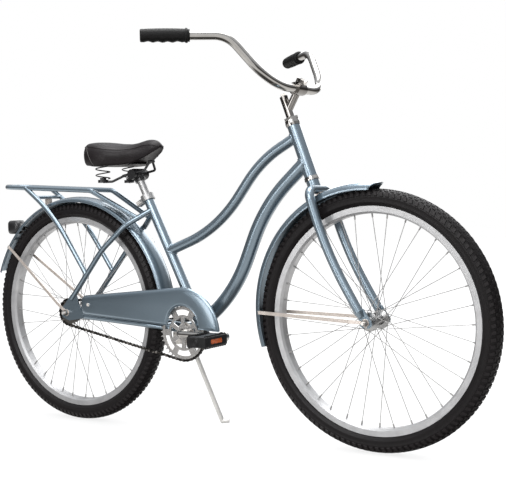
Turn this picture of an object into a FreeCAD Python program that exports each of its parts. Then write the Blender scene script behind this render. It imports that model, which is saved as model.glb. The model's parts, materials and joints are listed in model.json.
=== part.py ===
import FreeCAD, Part
import math
import os

Vector = FreeCAD.Vector
doc = FreeCAD.newDocument("beach_cruiser")

# Driving dimensions in millimetres and degrees
SIZES = [
    ("wheelbase", 1008), ("tyre_radius", 330), ("tyre_half_width", 27), ("tyre_wall", 4),
    ("rim_radius", 287), ("rim_depth", 19), ("rim_half_width", 18), ("rim_wall", 1.8),
    ("inner_tube_ring", 304), ("inner_tube_radius", 18.5), ("spoke_count", 36), ("spoke_radius", 0.9),
    ("head_angle", 70.6), ("head_tube_length", 143), ("head_tube_radius", 17), ("head_tube_bore", 15.5),
    ("head_foot_x", 837.2), ("head_foot_z", 696.6), ("cup_radius", 19.5), ("cup_height", 10),
    ("steerer_radius", 12.7), ("steerer_bore", 11.1), ("quill_radius", 11.05),
    ("seat_angle", 64), ("seat_line_x", 346), ("seat_line_z", 541), ("seat_tube_radius", 14.3),
    ("seat_tube_bore", 11.2), ("seat_tube_foot", 300), ("seat_tube_top", 672), ("post_radius", 11.12),
    ("top_tube_radius", 14.3), ("down_tube_radius", 19), ("tube_wall", 1.6),
    ("crank_x", 434.2), ("crank_z", 283.5), ("shell_radius", 29), ("shell_bore", 25.7),
    ("shell_half_width", 34), ("spindle_radius", 11), ("crank_bar_radius", 9), ("crank_length", 165),
    ("crank_elbow_y", 73), ("crank_eye_y", 84), ("crank_eye_radius", 14), ("crank_eye_width", 16),
    ("chain_pitch", 12.7), ("chainring_teeth", 38), ("sprocket_teeth", 19), ("chain_plane", -46),
    ("chain_links", 98), ("sprocket_width", 3), ("roller_radius", 3.95), ("seat_clearance", 0.65),
    ("chain_stay_radius", 8.5), ("seat_stay_radius", 8), ("rack_radius", 7.5), ("rack_bar_radius", 5.5),
    ("dropout_face", 55), ("dropout_thick", 4), ("rear_axle_radius", 4.75), ("rear_axle_half", 69.2),
    ("front_axle_radius", 4.5), ("front_axle_half", 62.2), ("axle_end_length", 7), ("axle_end_step", 0.4),
    ("fork_tab_face", 48), ("fork_tab_thick", 4),
    ("fork_spread", 52), ("blade_radius", 12), ("blade_tip_radius", 8), ("blade_tip_reach", 14),
    ("crown_half_width", 22),
    ("fender_radius", 331), ("rear_fender_radius", 355), ("fender_side", 21), ("rear_fender_side", 15),
    ("fender_half_width", 31), ("fender_wall", 1.2),
    ("strap_width", 9), ("strap_thick", 2), ("guard_face", -61.2), ("guard_sheet", 1.2),
    ("guard_depth", 9), ("guard_lobe_radius", 127), ("guard_arch_radius", 56), ("bar_radius", 11.1),
    ("bar_bore", 9.5), ("clamp_bore", 11.17), ("clamp_radius", 16.5), ("clamp_half_width", 20),
    ("grip_radius", 16.5), ("grip_length", 119), ("pedal_half_length", 31), ("pedal_half_height", 14),
    ("pedal_inner", 108), ("pedal_outer", 205), ("pedal_spindle_radius", 5), ("spring_radius", 20),
    ("spring_wire", 1.8), ("spring_turns", 2), ("rail_radius", 3.5), ("kick_radius", 6.5),
    ("kick_length", 258), ("fit_gap", 0.06), ("run_gap", 0.3),
]
sheet = doc.addObject("Spreadsheet::Sheet", "Sizes")
for row, (alias, number) in enumerate(SIZES, start=1):
    sheet.set("A%d" % row, alias)
    sheet.set("B%d" % row, str(number))
    sheet.setAlias("B%d" % row, alias)
doc.recompute()

ACROSS = Vector(0, 1, 0)
UPWARD = Vector(0, 0, 1)
nodes = []


def size(alias):
    return float(sheet.get(alias))


def at(x, y, z):
    """A point measured forward from the rear axle, to the left, and up from the ground."""
    return Vector(x - size("wheelbase") / 2, y, z)


def mirrored(point):
    return Vector(point.x, -point.y, point.z)


def placed(base, direction=UPWARD):
    return FreeCAD.Placement(base, FreeCAD.Rotation(UPWARD, direction))


def keep(node, solid):
    """Register a finished sub-part under the name of its file."""
    solid.Label = node
    nodes.append((node, solid))
    return solid


def cylinder(name, radius, length, base, direction=UPWARD):
    solid = doc.addObject("Part::Cylinder", name)
    solid.setExpression("Radius", radius)
    solid.setExpression("Height", length)
    solid.Placement = placed(base, direction)
    return solid


def cone(name, radius_start, radius_end, base, tip):
    solid = doc.addObject("Part::Cone", name)
    solid.setExpression("Radius1", radius_start)
    solid.setExpression("Radius2", radius_end)
    solid.Height = (tip - base).Length
    solid.Placement = placed(base, tip - base)
    return solid


def box(name, length, width, height, placement):
    """A block centred on its own X and Y, standing on its own Z."""
    solid = doc.addObject("Part::Box", name)
    solid.Length, solid.Width, solid.Height = length, width, height
    centre = FreeCAD.Placement(Vector(-length / 2, -width / 2, 0), FreeCAD.Rotation())
    solid.Placement = placement.multiply(centre)
    return solid


def cut(name, base, *tools):
    solid = base
    for count, tool in enumerate(tools):
        step = doc.addObject("Part::Cut", "%s_%d" % (name, count))
        step.Base, step.Tool = solid, tool
        solid = step
    return solid


def fuse(name, *pieces):
    solid = doc.addObject("Part::MultiFuse", name)
    solid.Shapes = list(pieces)
    return solid


def group(name, *pieces):
    solid = doc.addObject("Part::Compound", name)
    solid.Links = list(pieces)
    return solid


def mirror(name, source):
    solid = doc.addObject("Part::Mirroring", name)
    solid.Source = source
    solid.Normal = ACROSS
    return solid


def rod(name, radius, start, end):
    return cylinder(name, radius, "%.4f" % (end - start).Length, start, end - start)


def tube(name, radius, bore, start, end):
    along = (end - start).normalize()
    return cut(name, rod(name + "_outer", radius, start, end),
               rod(name + "_bore", bore, start - along, end + along))


def rounded_path(points, radii):
    """A wire of straight runs joined by tangent arcs."""
    edges = []
    here = points[0]
    for before, corner, after, radius in zip(points, points[1:], points[2:], radii):
        back = (before - corner).normalize()
        ahead = (after - corner).normalize()
        half_turn = (math.pi - back.getAngle(ahead)) / 2
        reach = radius * math.tan(half_turn)
        middle = corner + (back + ahead).normalize() * (radius / math.cos(half_turn) - radius)
        start, end = corner + back * reach, corner + ahead * reach
        edges.append(Part.LineSegment(here, start).toShape())
        edges.append(Part.Arc(start, middle, end).toShape())
        here = end
    edges.append(Part.LineSegment(here, points[-1]).toShape())
    return Part.Wire(edges)


def swept(name, radius, points, radii):
    path = doc.addObject("Part::Feature", name + "_path")
    path.Shape = rounded_path(points, radii)
    section = doc.addObject("Part::Circle", name + "_section")
    section.setExpression("Radius", radius)
    section.Placement = placed(points[0], points[1] - points[0])
    solid = doc.addObject("Part::Sweep", name)
    solid.Sections = [section]
    solid.Spine = (path, ["Edge%d" % (i + 1) for i in range(len(path.Shape.Edges))])
    solid.Solid = True
    solid.Frenet = False
    return solid


def bent_tube(name, radius, wall, points, radii):
    inner = "%s - %s" % (radius, wall)
    bore = swept(name + "_bore", inner, points, radii)
    return cut(name, swept(name + "_outer", radius, points, radii), bore)


def sketch_on(body, name, role, outline):
    """Draw closed outlines; an item is a line's end or a pair of an arc's middle and end."""
    drawing = body.newObject("Sketcher::SketchObject", name)
    plane = [item for item in body.Origin.OriginFeatures if item.Role == role][0]
    drawing.AttachmentSupport = [(plane, "")]
    drawing.MapMode = "FlatFace"
    for loop in outline:
        if isinstance(loop, tuple):
            centre, radius = loop
            drawing.addGeometry(Part.Circle(Vector(*centre, 0), UPWARD, radius), False)
            continue
        last = loop[-1][1] if isinstance(loop[-1][0], tuple) else loop[-1]
        for item in loop:
            if isinstance(item[0], tuple):
                middle, end = item
                curve = Part.Arc(Vector(*last, 0), Vector(*middle, 0), Vector(*end, 0))
                drawing.addGeometry(curve, False)
            else:
                end = item
                drawing.addGeometry(Part.LineSegment(Vector(*last, 0), Vector(*end, 0)), False)
            last = end
    return drawing


def turned(name, outline, base, axis):
    """Revolve an outline of (radius, height) points about an axis through base."""
    body = doc.addObject("PartDesign::Body", name)
    drawing = sketch_on(body, name + "_outline", "XZ_Plane", [outline])
    turn = body.newObject("PartDesign::Revolution", name + "_turn")
    turn.Profile = drawing
    turn.ReferenceAxis = (drawing, ["V_Axis"])
    turn.Angle = 360
    body.Placement = placed(base, axis)
    return body


def ring(name, inner, outer, low, high, base, axis):
    return turned(name, [(inner, low), (outer, low), (outer, high), (inner, high)], base, axis)


def plate(name, outline, thick, y):
    """A sheet lying in a plane across the bicycle; outlines are (x, z) points, y is its inner face."""
    body = doc.addObject("PartDesign::Body", name)
    drawing = sketch_on(body, name + "_outline", "XZ_Plane", outline)
    pad = body.newObject("PartDesign::Pad", name + "_pad")
    pad.Profile = drawing
    pad.setExpression("Length", thick)
    body.Placement = FreeCAD.Placement(at(0, y, 0), FreeCAD.Rotation())
    return body


def polar(centre, radius, degrees):
    turn = math.radians(degrees)
    return (centre[0] + radius * math.cos(turn), centre[1] + radius * math.sin(turn))


# Main lines of the bicycle
REAR = at(0, 0, size("tyre_radius"))
FRONT = at(size("wheelbase"), 0, size("tyre_radius"))
CRANK = at(size("crank_x"), 0, size("crank_z"))
HEAD_FOOT = at(size("head_foot_x"), 0, size("head_foot_z"))
HEAD_ANGLE = math.radians(size("head_angle"))
STEER = Vector(-math.cos(HEAD_ANGLE), 0, math.sin(HEAD_ANGLE))
HEAD_TOP = HEAD_FOOT + STEER * size("head_tube_length")
SEAT_ANGLE = math.radians(size("seat_angle"))
SEAT_UP = Vector(-math.cos(SEAT_ANGLE), 0, math.sin(SEAT_ANGLE))


def on_seat_line(height):
    lift = (height - size("seat_line_z")) / SEAT_UP.z
    return at(size("seat_line_x"), 0, size("seat_line_z")) + SEAT_UP * lift


# Frame tubes, coped where they meet
DOWN_POINTS = [at(823.6, 0, 735.6), at(693, 0, 627.2), at(582.9, 0, 390.4), CRANK]
DOWN_BENDS = [420, 400]
TOP_POINTS = [at(799.4, 0, 804.1), at(684, 0, 747.6), at(536.6, 0, 570.7), on_seat_line(510.1)]
TOP_BENDS = [330, 400]
SEAT_STAY_POINTS = [at(22, -57, 372), at(152, -59, 516), at(236, -47, 587),
                    on_seat_line(629) + Vector(0, -6, 0)]
SEAT_STAY_BENDS = [260, 90]
CHAIN_STAY_POINTS = [at(46, -50, 321), at(300, -43, 302), CRANK + Vector(-6, -19, 3)]
CHAIN_STAY_BENDS = [260]
BRIDGE_X, BRIDGE_Z = 343, 298


def frame_tubes():
    shell = cylinder("shell_solid", "Sizes.shell_radius", "2 * Sizes.shell_half_width",
                     CRANK - ACROSS * size("shell_half_width"), ACROSS)
    shell_bore = cylinder("shell_hole", "Sizes.shell_bore", "2 * Sizes.shell_half_width + 2",
                          CRANK - ACROSS * (size("shell_half_width") + 1), ACROSS)
    keep("bottom_bracket_shell", cut("bottom_bracket_shell", shell, shell_bore))
    head = rod("head_solid", "Sizes.head_tube_radius", HEAD_FOOT, HEAD_TOP)
    keep("head_tube", tube("head_tube", "Sizes.head_tube_radius", "Sizes.head_tube_bore",
                           HEAD_FOOT, HEAD_TOP))
    seat = rod("seat_solid", "Sizes.seat_tube_radius", on_seat_line(size("seat_tube_foot")),
               on_seat_line(size("seat_tube_top")))
    seat_tube = tube("seat_hollow", "Sizes.seat_tube_radius", "Sizes.seat_tube_bore",
                     on_seat_line(size("seat_tube_foot")), on_seat_line(size("seat_tube_top")))
    down = swept("down_solid", "Sizes.down_tube_radius", DOWN_POINTS, DOWN_BENDS)
    down_tube = bent_tube("down_hollow", "Sizes.down_tube_radius", "Sizes.tube_wall",
                          DOWN_POINTS, DOWN_BENDS)
    top_tube = bent_tube("top_hollow", "Sizes.top_tube_radius", "Sizes.tube_wall", TOP_POINTS, TOP_BENDS)
    keep("down_tube", cut("down_tube", down_tube, head, shell))
    keep("top_tube", cut("top_tube", top_tube, head, seat))
    keep("seat_tube", cut("seat_tube", seat_tube, shell, down))
    return shell, seat


def stays(shell, seat):
    """Right stays slotted over the dropout plate, and their mirror images on the left."""
    drop = dropout_plate("dropout_right")
    chain_solid = swept("chain_stay_solid", "Sizes.chain_stay_radius",
                        CHAIN_STAY_POINTS, CHAIN_STAY_BENDS)
    chain_right = cut("chain_stay_right", chain_solid, shell, drop)
    bridge_reach = 60
    bridge = cylinder("bridge_solid", "6", "%d" % (2 * bridge_reach),
                      at(BRIDGE_X, -bridge_reach, BRIDGE_Z), ACROSS)
    chain_left_solid = mirror("chain_stay_left_solid", chain_solid)
    between = doc.addObject("Part::Box", "between_stays")
    between.Length, between.Width, between.Height = 40, 70, 40
    between.Placement.Base = at(BRIDGE_X - 20, -35, BRIDGE_Z - 20)
    inside = doc.addObject("Part::Common", "bridge_inside")
    inside.Base, inside.Tool = bridge, between
    keep("chain_stays", group("chain_stays", chain_right, mirror("chain_stay_left", chain_right),
                              cut("bridge", inside, chain_solid, chain_left_solid)))
    seat_solid = swept("seat_stay_solid", "Sizes.seat_stay_radius", SEAT_STAY_POINTS, SEAT_STAY_BENDS)
    seat_right = cut("seat_stay_right", seat_solid, seat, drop, half_space("left_half", 1))
    keep("seat_stays", group("seat_stays", seat_right, mirror("seat_stay_left", seat_right)))
    keep("dropouts", group("dropouts", drop, mirror("dropout_left", drop)))
    return seat_solid


def half_space(name, side):
    """A large block filling one side of the middle plane."""
    wide = 900
    solid = doc.addObject("Part::Box", name)
    solid.Length, solid.Width, solid.Height = wide, wide, wide
    solid.Placement.Base = Vector(-wide / 2, 0 if side > 0 else -wide, 200)
    return solid


def dropout_plate(name):
    """Rear dropout: a broad plate with a slot that opens rearward for the axle."""
    slot = size("rear_axle_radius") + 0.2
    wheel = size("tyre_radius")
    outline = [(64, 314), (70, 322), (66, 331), (52, 352), (38, 388), (20, 384), (-16, 346),
               (-22, wheel + slot), (0, wheel + slot), ((slot, wheel), (0, wheel - slot)),
               (-22, wheel - slot), (-16, 316), (8, 306)]
    return plate(name, [outline], "Sizes.dropout_thick", -size("dropout_face"))


# Rear rack
RACK_HALF = 50
RACK_POINTS = [at(268, -28, 606), at(107, -47, 693), at(-190, -RACK_HALF, 714),
               at(-272, -RACK_HALF, 720), at(-272, RACK_HALF, 720),
               at(-190, RACK_HALF, 714), at(107, 47, 693), at(268, 28, 606)]
RACK_BENDS = [45, 400, 47, 47, 400, 45]
LEG_POINTS = [at(-160, -52, 711), at(-37, -58, 624.5), at(86, -59, 446)]
LEG_BENDS = [560]
CROSS_BAR = at(-117, 0, 681)


def rack(seat_stay):
    loop_solid = swept("rack_loop_solid", "Sizes.rack_radius", RACK_POINTS, RACK_BENDS)
    loop = bent_tube("rack_loop_hollow", "Sizes.rack_radius", "Sizes.tube_wall", RACK_POINTS, RACK_BENDS)
    keep("rack_loop", cut("rack_loop", loop, seat_stay, mirror("seat_stay_mate", seat_stay)))
    leg = cut("rack_leg_right", swept("rack_leg_solid", "Sizes.rack_radius", LEG_POINTS, LEG_BENDS),
              loop_solid, seat_stay)
    reach = 70
    bar = cylinder("cross_bar_solid", "Sizes.rack_bar_radius", "%d" % (2 * reach),
                   CROSS_BAR - ACROSS * reach, ACROSS)
    span = box("cross_bar_span", 60, 114, 60, placed(CROSS_BAR - UPWARD * 30))
    inside = doc.addObject("Part::Common", "cross_bar_inside")
    inside.Base, inside.Tool = bar, span
    leg_left = mirror("rack_leg_left", leg)
    keep("rack_struts", group("rack_struts", leg, leg_left, cut("cross_bar", inside, leg, leg_left)))


# Wheels
def wheel(prefix, centre, flanges, flange_ring, hub_outline, bearing_ends, axle_radius):
    out, half, wall = size("tyre_radius"), size("tyre_half_width"), size("tyre_wall")
    foot = size("rim_radius") + 0.2
    bulge, shoulder = 303, 323
    foot_half, shoulder_half = 17.6, 21.5
    tyre = [((bulge, half), (shoulder, shoulder_half)), ((out, 0), (shoulder, -shoulder_half)),
            ((bulge, -half), (foot, -foot_half)), (foot, -foot_half + wall),
            ((bulge, -half + wall), (shoulder - wall, wall - shoulder_half)),
            ((out - wall - 1, 0), (shoulder - wall, shoulder_half - wall)),
            ((bulge, half - wall), (foot, foot_half - wall)), (foot, foot_half)]
    keep(prefix + "_tyre", turned(prefix + "_tyre", tyre, centre, ACROSS))
    skins = []
    for layer, radius in (("skin", "Sizes.inner_tube_radius"), ("air", "Sizes.inner_tube_radius - 1.5")):
        torus = doc.addObject("Part::Torus", "%s_tube_%s" % (prefix, layer))
        torus.setExpression("Radius1", "Sizes.inner_tube_ring")
        torus.setExpression("Radius2", radius)
        torus.Placement = placed(centre, ACROSS)
        skins.append(torus)
    keep(prefix + "_inner_tube", cut(prefix + "_inner_tube", *skins))
    edge, deep = size("rim_radius"), size("rim_depth")
    side, skin = size("rim_half_width"), size("rim_wall")
    well = edge - deep
    rim = [(edge, side), (well + 5, side - 1), (well, side - 7),
           (well, 7 - side), (well + 5, 1 - side), (edge, -side),
           (edge, skin - side), (well + 6, skin + 1 - side), (well + skin, 8 - side), (well + skin, side - 8),
           (well + 6, side - skin - 1), (edge, side - skin)]
    keep(prefix + "_rim", turned(prefix + "_rim", rim, centre, ACROSS))
    keep(prefix + "_spokes", spokes(prefix + "_spokes", centre, flanges, flange_ring))
    shell = turned(prefix + "_hub_shell", hub_outline, centre, ACROSS)
    bearings = []
    for end, (low, high, outer) in zip(("right", "left"), bearing_ends):
        bearings.append(ring("%s_hub_%s_bearing" % (prefix, end), axle_radius + size("fit_gap"), outer,
                             low, high, centre, ACROSS))
    keep(prefix + "_hub", group(prefix + "_hub", shell, *bearings))


def spokes(name, centre, flanges, flange_ring):
    """Spokes laced over three crossings; each holds a nipple at the rim."""
    count = int(size("spoke_count"))
    well = size("rim_radius") - size("rim_depth")
    apart, rim_offset = 1.7, 4
    lead_turn = 60
    nipple_radius, nipple_length = 2, 11
    wires = []
    for index in range(count):
        side = index % 2
        lean = 1 if (index // 2) % 2 else -1
        rim_turn = 360.0 * index / count
        hub_turn = rim_turn + lead_turn * lean
        sign = 1 if side else -1
        hub_y = flanges[side] + apart * lean
        rim_y = sign * rim_offset + apart * lean
        start = centre + wheel_point(flange_ring, hub_turn, hub_y)
        end = centre + wheel_point(well + 1, rim_turn, rim_y)
        along = (end - start).normalize()
        wire = Part.makeCylinder(size("spoke_radius"), (end - start).Length, start, along)
        nipple = Part.makeCylinder(nipple_radius, nipple_length, end - along * nipple_length, along)
        wires.append(wire.fuse(nipple).removeSplitter())
    solid = doc.addObject("Part::Feature", name)
    solid.Shape = Part.makeCompound(wires)
    return solid


def wheel_point(radius, degrees, y):
    turn = math.radians(degrees)
    return Vector(radius * math.cos(turn), y, radius * math.sin(turn))


def wheels():
    front_hub = [(8, -46), (11.5, -46), (13, -40), (13, -33),
                 (24, -30.5), (24, -28.5), (13, -25), (11, -10),
                 (11, 10), (13, 25), (24, 28.5), (24, 30.5), (13, 33), (13, 40), (11.5, 46), (8, 46)]
    front_races = ((-46, -38, 8), (38, 46, 8))
    wheel("front", FRONT, (-29.5, 29.5), 21, front_hub, front_races, size("front_axle_radius"))
    rear_hub = [(10, -53), (13, -53), (13, -48.5), (17, -48.5), (17, -33), (33, -30), (33, -28), (22, -23),
                (19, -8), (19, 8), (21, 23), (33, 28), (33, 30), (25, 33), (25, 44), (22, 48), (10, 48)]
    rear_races = ((-53, -44, 10), (39, 48, 10))
    wheel("rear", REAR, (-29, 29), 30, rear_hub, rear_races, size("rear_axle_radius"))


# Toothed wheels and the chain
def pitch_radius(teeth):
    return size("chain_pitch") / 2 / math.sin(math.pi / teeth)


def tooth_outline(teeth, phase):
    """Roller seats as arcs with pointed teeth between them, about the centre."""
    pitch = pitch_radius(teeth)
    seat = size("roller_radius") + size("seat_clearance")
    opening = 62
    tip, tip_half = pitch + 3.4, 0.6
    step = 360.0 / teeth
    items = []
    for index in range(teeth):
        turn = phase + step * index
        centre = polar((0, 0), pitch, turn)
        bottom = polar(centre, seat, turn + 180)
        items.append(polar(centre, seat, turn + 180 + opening))
        items.append((bottom, polar(centre, seat, turn + 180 - opening)))
        for edge in (-tip_half, tip_half):
            items.append(polar((0, 0), tip, turn + step / 2 + math.degrees(edge / tip)))
    return items


def toothed(name, teeth, phase, windows, centre):
    """A toothed plate that turns about centre, with its middle in the chain's plane."""
    body = doc.addObject("PartDesign::Body", name)
    drawing = sketch_on(body, name + "_outline", "XZ_Plane", [tooth_outline(teeth, phase)] + windows)
    pad = body.newObject("PartDesign::Pad", name + "_pad")
    pad.Profile = drawing
    pad.setExpression("Length", "Sizes.sprocket_width")
    pad.Midplane = True
    body.Placement = FreeCAD.Placement(centre + ACROSS * size("chain_plane"), FreeCAD.Rotation())
    return body


def window(inner, outer, middle, half_inner, half_outer):
    """An opening bounded by two arcs and two straight sides."""
    return [polar((0, 0), outer, middle + half_outer),
            (polar((0, 0), outer, middle), polar((0, 0), outer, middle - half_outer)),
            polar((0, 0), inner, middle - half_inner),
            (polar((0, 0), inner, middle), polar((0, 0), inner, middle + half_inner))]


def chain_places():
    """Roller centres, one pitch apart along the loop, as (x, z) from the rear axle in pitch order."""
    large, small = int(size("chainring_teeth")), int(size("sprocket_teeth"))
    big, little = pitch_radius(large), pitch_radius(small)
    start, end = (REAR.x, REAR.z), (CRANK.x, CRANK.z)
    apart = math.hypot(end[0] - start[0], end[1] - start[1])
    slope = math.degrees(math.atan2(end[1] - start[1], end[0] - start[0]))
    wedge = math.degrees(math.asin((big - little) / apart))
    run = apart * math.cos(math.radians(wedge)) / size("chain_pitch")
    ring_wrap = (180 + 2 * wedge) * large / 360
    cog_wrap = (180 - 2 * wedge) * small / 360
    links = int(size("chain_links"))
    step = (2 * run + ring_wrap + cog_wrap) / links
    top, low = slope + 90 + wedge, slope - 90 - wedge
    places = []
    for index in range(links):
        length = index * step
        if length < ring_wrap:
            places.append(polar(end, big, top - length * 360 / large))
        elif length < ring_wrap + run:
            part = (length - ring_wrap) / run
            first, last = polar(end, big, low), polar(start, little, low)
            places.append(tuple(a + (b - a) * part for a, b in zip(first, last)))
        elif length < ring_wrap + run + cog_wrap:
            places.append(polar(start, little, low - (length - ring_wrap - run) * 360 / small))
        else:
            part = (length - ring_wrap - run - cog_wrap) / run
            first, last = polar(start, little, top), polar(end, big, top)
            places.append(tuple(a + (b - a) * part for a, b in zip(first, last)))
    stretch = (step - 1) * 360 / 2
    first_on_cog = math.ceil((ring_wrap + run) / step) * step - ring_wrap - run
    ring_phase = top - stretch * ring_wrap / large
    cog_phase = low - first_on_cog * 360 / small - stretch * cog_wrap / small
    return places, ring_phase, cog_phase


def link_plate(half_width, thick, y, hole):
    """A waisted chain side plate lying along X, centred on the link's middle."""
    half = size("chain_pitch") / 2
    waist = 0.64 * half_width
    rim = half + half_width
    corners = [(-half, half_width), (half, half_width), (half, -half_width), (-half, -half_width)]
    bulges = [(0, waist), (rim, 0), (0, -waist), (-rim, 0)]
    edges = []
    for (x, z), (mid_x, mid_z), (end_x, end_z) in zip(corners, bulges, corners[1:] + corners[:1]):
        edges.append(Part.Arc(Vector(x, y, z), Vector(mid_x, y, mid_z), Vector(end_x, y, end_z)).toShape())
    solid = Part.Face(Part.Wire(edges)).extrude(Vector(0, thick, 0))
    for end in (-half, half):
        solid = solid.cut(Part.makeCylinder(hole, thick + 2, Vector(end, y - 1, 0), ACROSS))
    return solid


def chain(places):
    """Inner links with rollers and outer links with pins, taken in turn round the loop."""
    half = size("chain_pitch") / 2
    plate_half, thick = 4.1, 0.9
    inner_y, outer_y, pin_half = 1.9, 2.95, 4.4
    pin, bush = 1.7, 1.85
    inner = link_plate(plate_half, thick, inner_y, bush)
    inner = inner.fuse(link_plate(plate_half, thick, -inner_y - thick, bush))
    for end in (-half, half):
        roller = Part.makeCylinder(size("roller_radius"), 2 * inner_y, Vector(end, -inner_y, 0), ACROSS)
        inner = inner.fuse(roller.cut(Part.makeCylinder(bush, 20, Vector(end, -10, 0), ACROSS)))
    outer = link_plate(plate_half - 0.2, thick, outer_y, 0.5)
    outer = outer.fuse(link_plate(plate_half - 0.2, thick, -outer_y - thick, 0.5))
    for end in (-half, half):
        outer = outer.fuse(Part.makeCylinder(pin, 2 * pin_half, Vector(end, -pin_half, 0), ACROSS))
    links = []
    for index, (here, after) in enumerate(zip(places, places[1:] + places[:1])):
        shape = (outer if index % 2 else inner).copy()
        middle = Vector((here[0] + after[0]) / 2, size("chain_plane"), (here[1] + after[1]) / 2)
        turn = math.degrees(math.atan2(after[1] - here[1], after[0] - here[0]))
        shape.Placement = FreeCAD.Placement(middle, FreeCAD.Rotation(ACROSS, -turn))
        links.append(shape)
    solid = doc.addObject("Part::Feature", "chain")
    solid.Shape = Part.makeCompound(links)
    keep("chain", solid)


def drive():
    places, ring_phase, cog_phase = chain_places()
    chain(places)
    bore = size("spindle_radius")
    arms = 6
    windows = [((0, 0), bore)]
    for index in range(arms):
        middle = 90 + 360 * index / arms
        windows.append(window(50, 65, middle, 20, 22))
        windows.append(window(22, 43, middle + 180 / arms, 15, 21))
    keep("chainring", toothed("chainring", int(size("chainring_teeth")), ring_phase, windows, CRANK))
    hub_seat = 17 + size("fit_gap")
    keep("rear_sprocket", toothed("rear_sprocket", int(size("sprocket_teeth")), cog_phase,
                                  [((0, 0), hub_seat)], REAR))


def crank():
    """One-piece crank: a bar bent into two arms, with an eye for each pedal."""
    reach, elbow, eye = size("crank_length"), size("crank_elbow_y"), size("crank_eye_y")
    arm = Vector(reach, 0, 0)
    points = [CRANK - arm + ACROSS * eye, CRANK + ACROSS * elbow,
              CRANK - ACROSS * elbow, CRANK + arm - ACROSS * eye]
    bar = swept("crank_bar", "Sizes.crank_bar_radius", points, [18, 18])
    half = 52
    spindle = cylinder("crank_spindle", "Sizes.spindle_radius", "%d" % (2 * half),
                       CRANK - ACROSS * half, ACROSS)
    wide = size("crank_eye_width")
    pieces = [bar, spindle]
    for side, end in (("right", CRANK + arm - ACROSS * eye), ("left", CRANK - arm + ACROSS * eye)):
        pieces.append(cylinder("crank_eye_" + side, "Sizes.crank_eye_radius", "Sizes.crank_eye_width",
                               end - ACROSS * (wide / 2), ACROSS))
    solid = fuse("crank_solid", *pieces)
    holes = []
    for side, end in (("right", CRANK + arm - ACROSS * eye), ("left", CRANK - arm + ACROSS * eye)):
        holes.append(cylinder("pedal_hole_" + side, "Sizes.pedal_spindle_radius + Sizes.fit_gap", "60",
                              end - ACROSS * 30, ACROSS))
    keep("crank", cut("crank", solid, *holes))


def pedals():
    """Platform pedals, each with its own spindle and a reflector on its front and rear edges."""
    reach = size("crank_length")
    inner, outer = size("pedal_inner"), size("pedal_outer")
    long, high = size("pedal_half_length"), size("pedal_half_height")
    for side, sign in (("right", -1), ("left", 1)):
        centre = CRANK + Vector(-sign * reach, 0, 0)
        middle = centre + ACROSS * (sign * (inner + outer) / 2)
        block = box("pedal_block_" + side, 2 * long, outer - inner, 2 * high,
                    placed(middle - UPWARD * high))
        rounded = doc.addObject("Part::Fillet", "pedal_rounded_" + side)
        rounded.Base = block
        rounded.Edges = [(edge, 4, 4) for edge in range(1, 13)]
        slots = []
        for offset in (-18, 18):
            slots.append(box("pedal_slot_%s_%d" % (side, offset), 14, 56, 4 * high,
                             placed(middle + Vector(offset, 0, -2 * high))))
        spindle = cylinder("pedal_spindle_" + side, "Sizes.pedal_spindle_radius", "%.3f" % (inner - 70),
                           centre + ACROSS * (sign * 76), ACROSS * sign)
        body = fuse("pedal_body_" + side, cut("pedal_frame_" + side, rounded, *slots), spindle)
        lenses = []
        pockets = []
        for end in (-1, 1):
            face = middle + Vector(end * long, 0, 0)
            out = FreeCAD.Rotation(UPWARD, Vector(end, 0, 0))
            depth = 3
            pocket = box("reflector_pocket_%s_%d" % (side, end), 12, 48, 2 * depth,
                         FreeCAD.Placement(face - Vector(end * depth, 0, 0), out))
            pockets.append(pocket)
            lenses.append(box("pedal_lens_%s_%d" % (side, end), 11.6, 47.6, depth - 0.3,
                              FreeCAD.Placement(face - Vector(end * depth, 0, 0), out)))
        keep("pedal_" + side, cut("pedal_" + side, body, *pockets))
        keep("pedal_%s_reflectors" % side, group("pedal_%s_reflectors" % side, *lenses))


# Bearings, axles and their nuts
def hexagon(name, across, length, hole, base, axis):
    body = doc.addObject("PartDesign::Body", name)
    corner = across / math.sqrt(3)
    outline = [polar((0, 0), corner, 60 * index) for index in range(6)]
    loops = [outline] + ([((0, 0), hole)] if hole else [])
    drawing = sketch_on(body, name + "_outline", "XY_Plane", loops)
    pad = body.newObject("PartDesign::Pad", name + "_pad")
    pad.Profile = drawing
    pad.Length = length
    body.Placement = placed(base, axis)
    return body


def axles():
    for prefix, centre, half, radius in (("rear", REAR, "rear_axle_half", "rear_axle_radius"),
                                         ("front", FRONT, "front_axle_half", "front_axle_radius")):
        shaft, reach, end = size(radius), size(half), size("axle_end_length")
        thin = shaft - size("axle_end_step")
        outline = [(0, -reach - end), (thin, -reach - end), (thin, -reach), (shaft, -reach), (shaft, reach),
                   (thin, reach), (thin, reach + end), (0, reach + end)]
        keep(prefix + "_axle", turned(prefix + "_axle", outline, centre, ACROSS))
        face = {"rear": size("dropout_face") + size("dropout_thick"),
                "front": size("fork_tab_face") + size("fork_tab_thick")}[prefix] + size("strap_thick")
        nuts = []
        for side, sign in (("right", -1), ("left", 1)):
            nuts.append(hexagon("%s_nut_%s" % (prefix, side), 15, 8, size(radius),
                                centre + ACROSS * (sign * face), ACROSS * sign))
        keep(prefix + "_axle_nuts", group(prefix + "_axle_nuts", *nuts))


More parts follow.
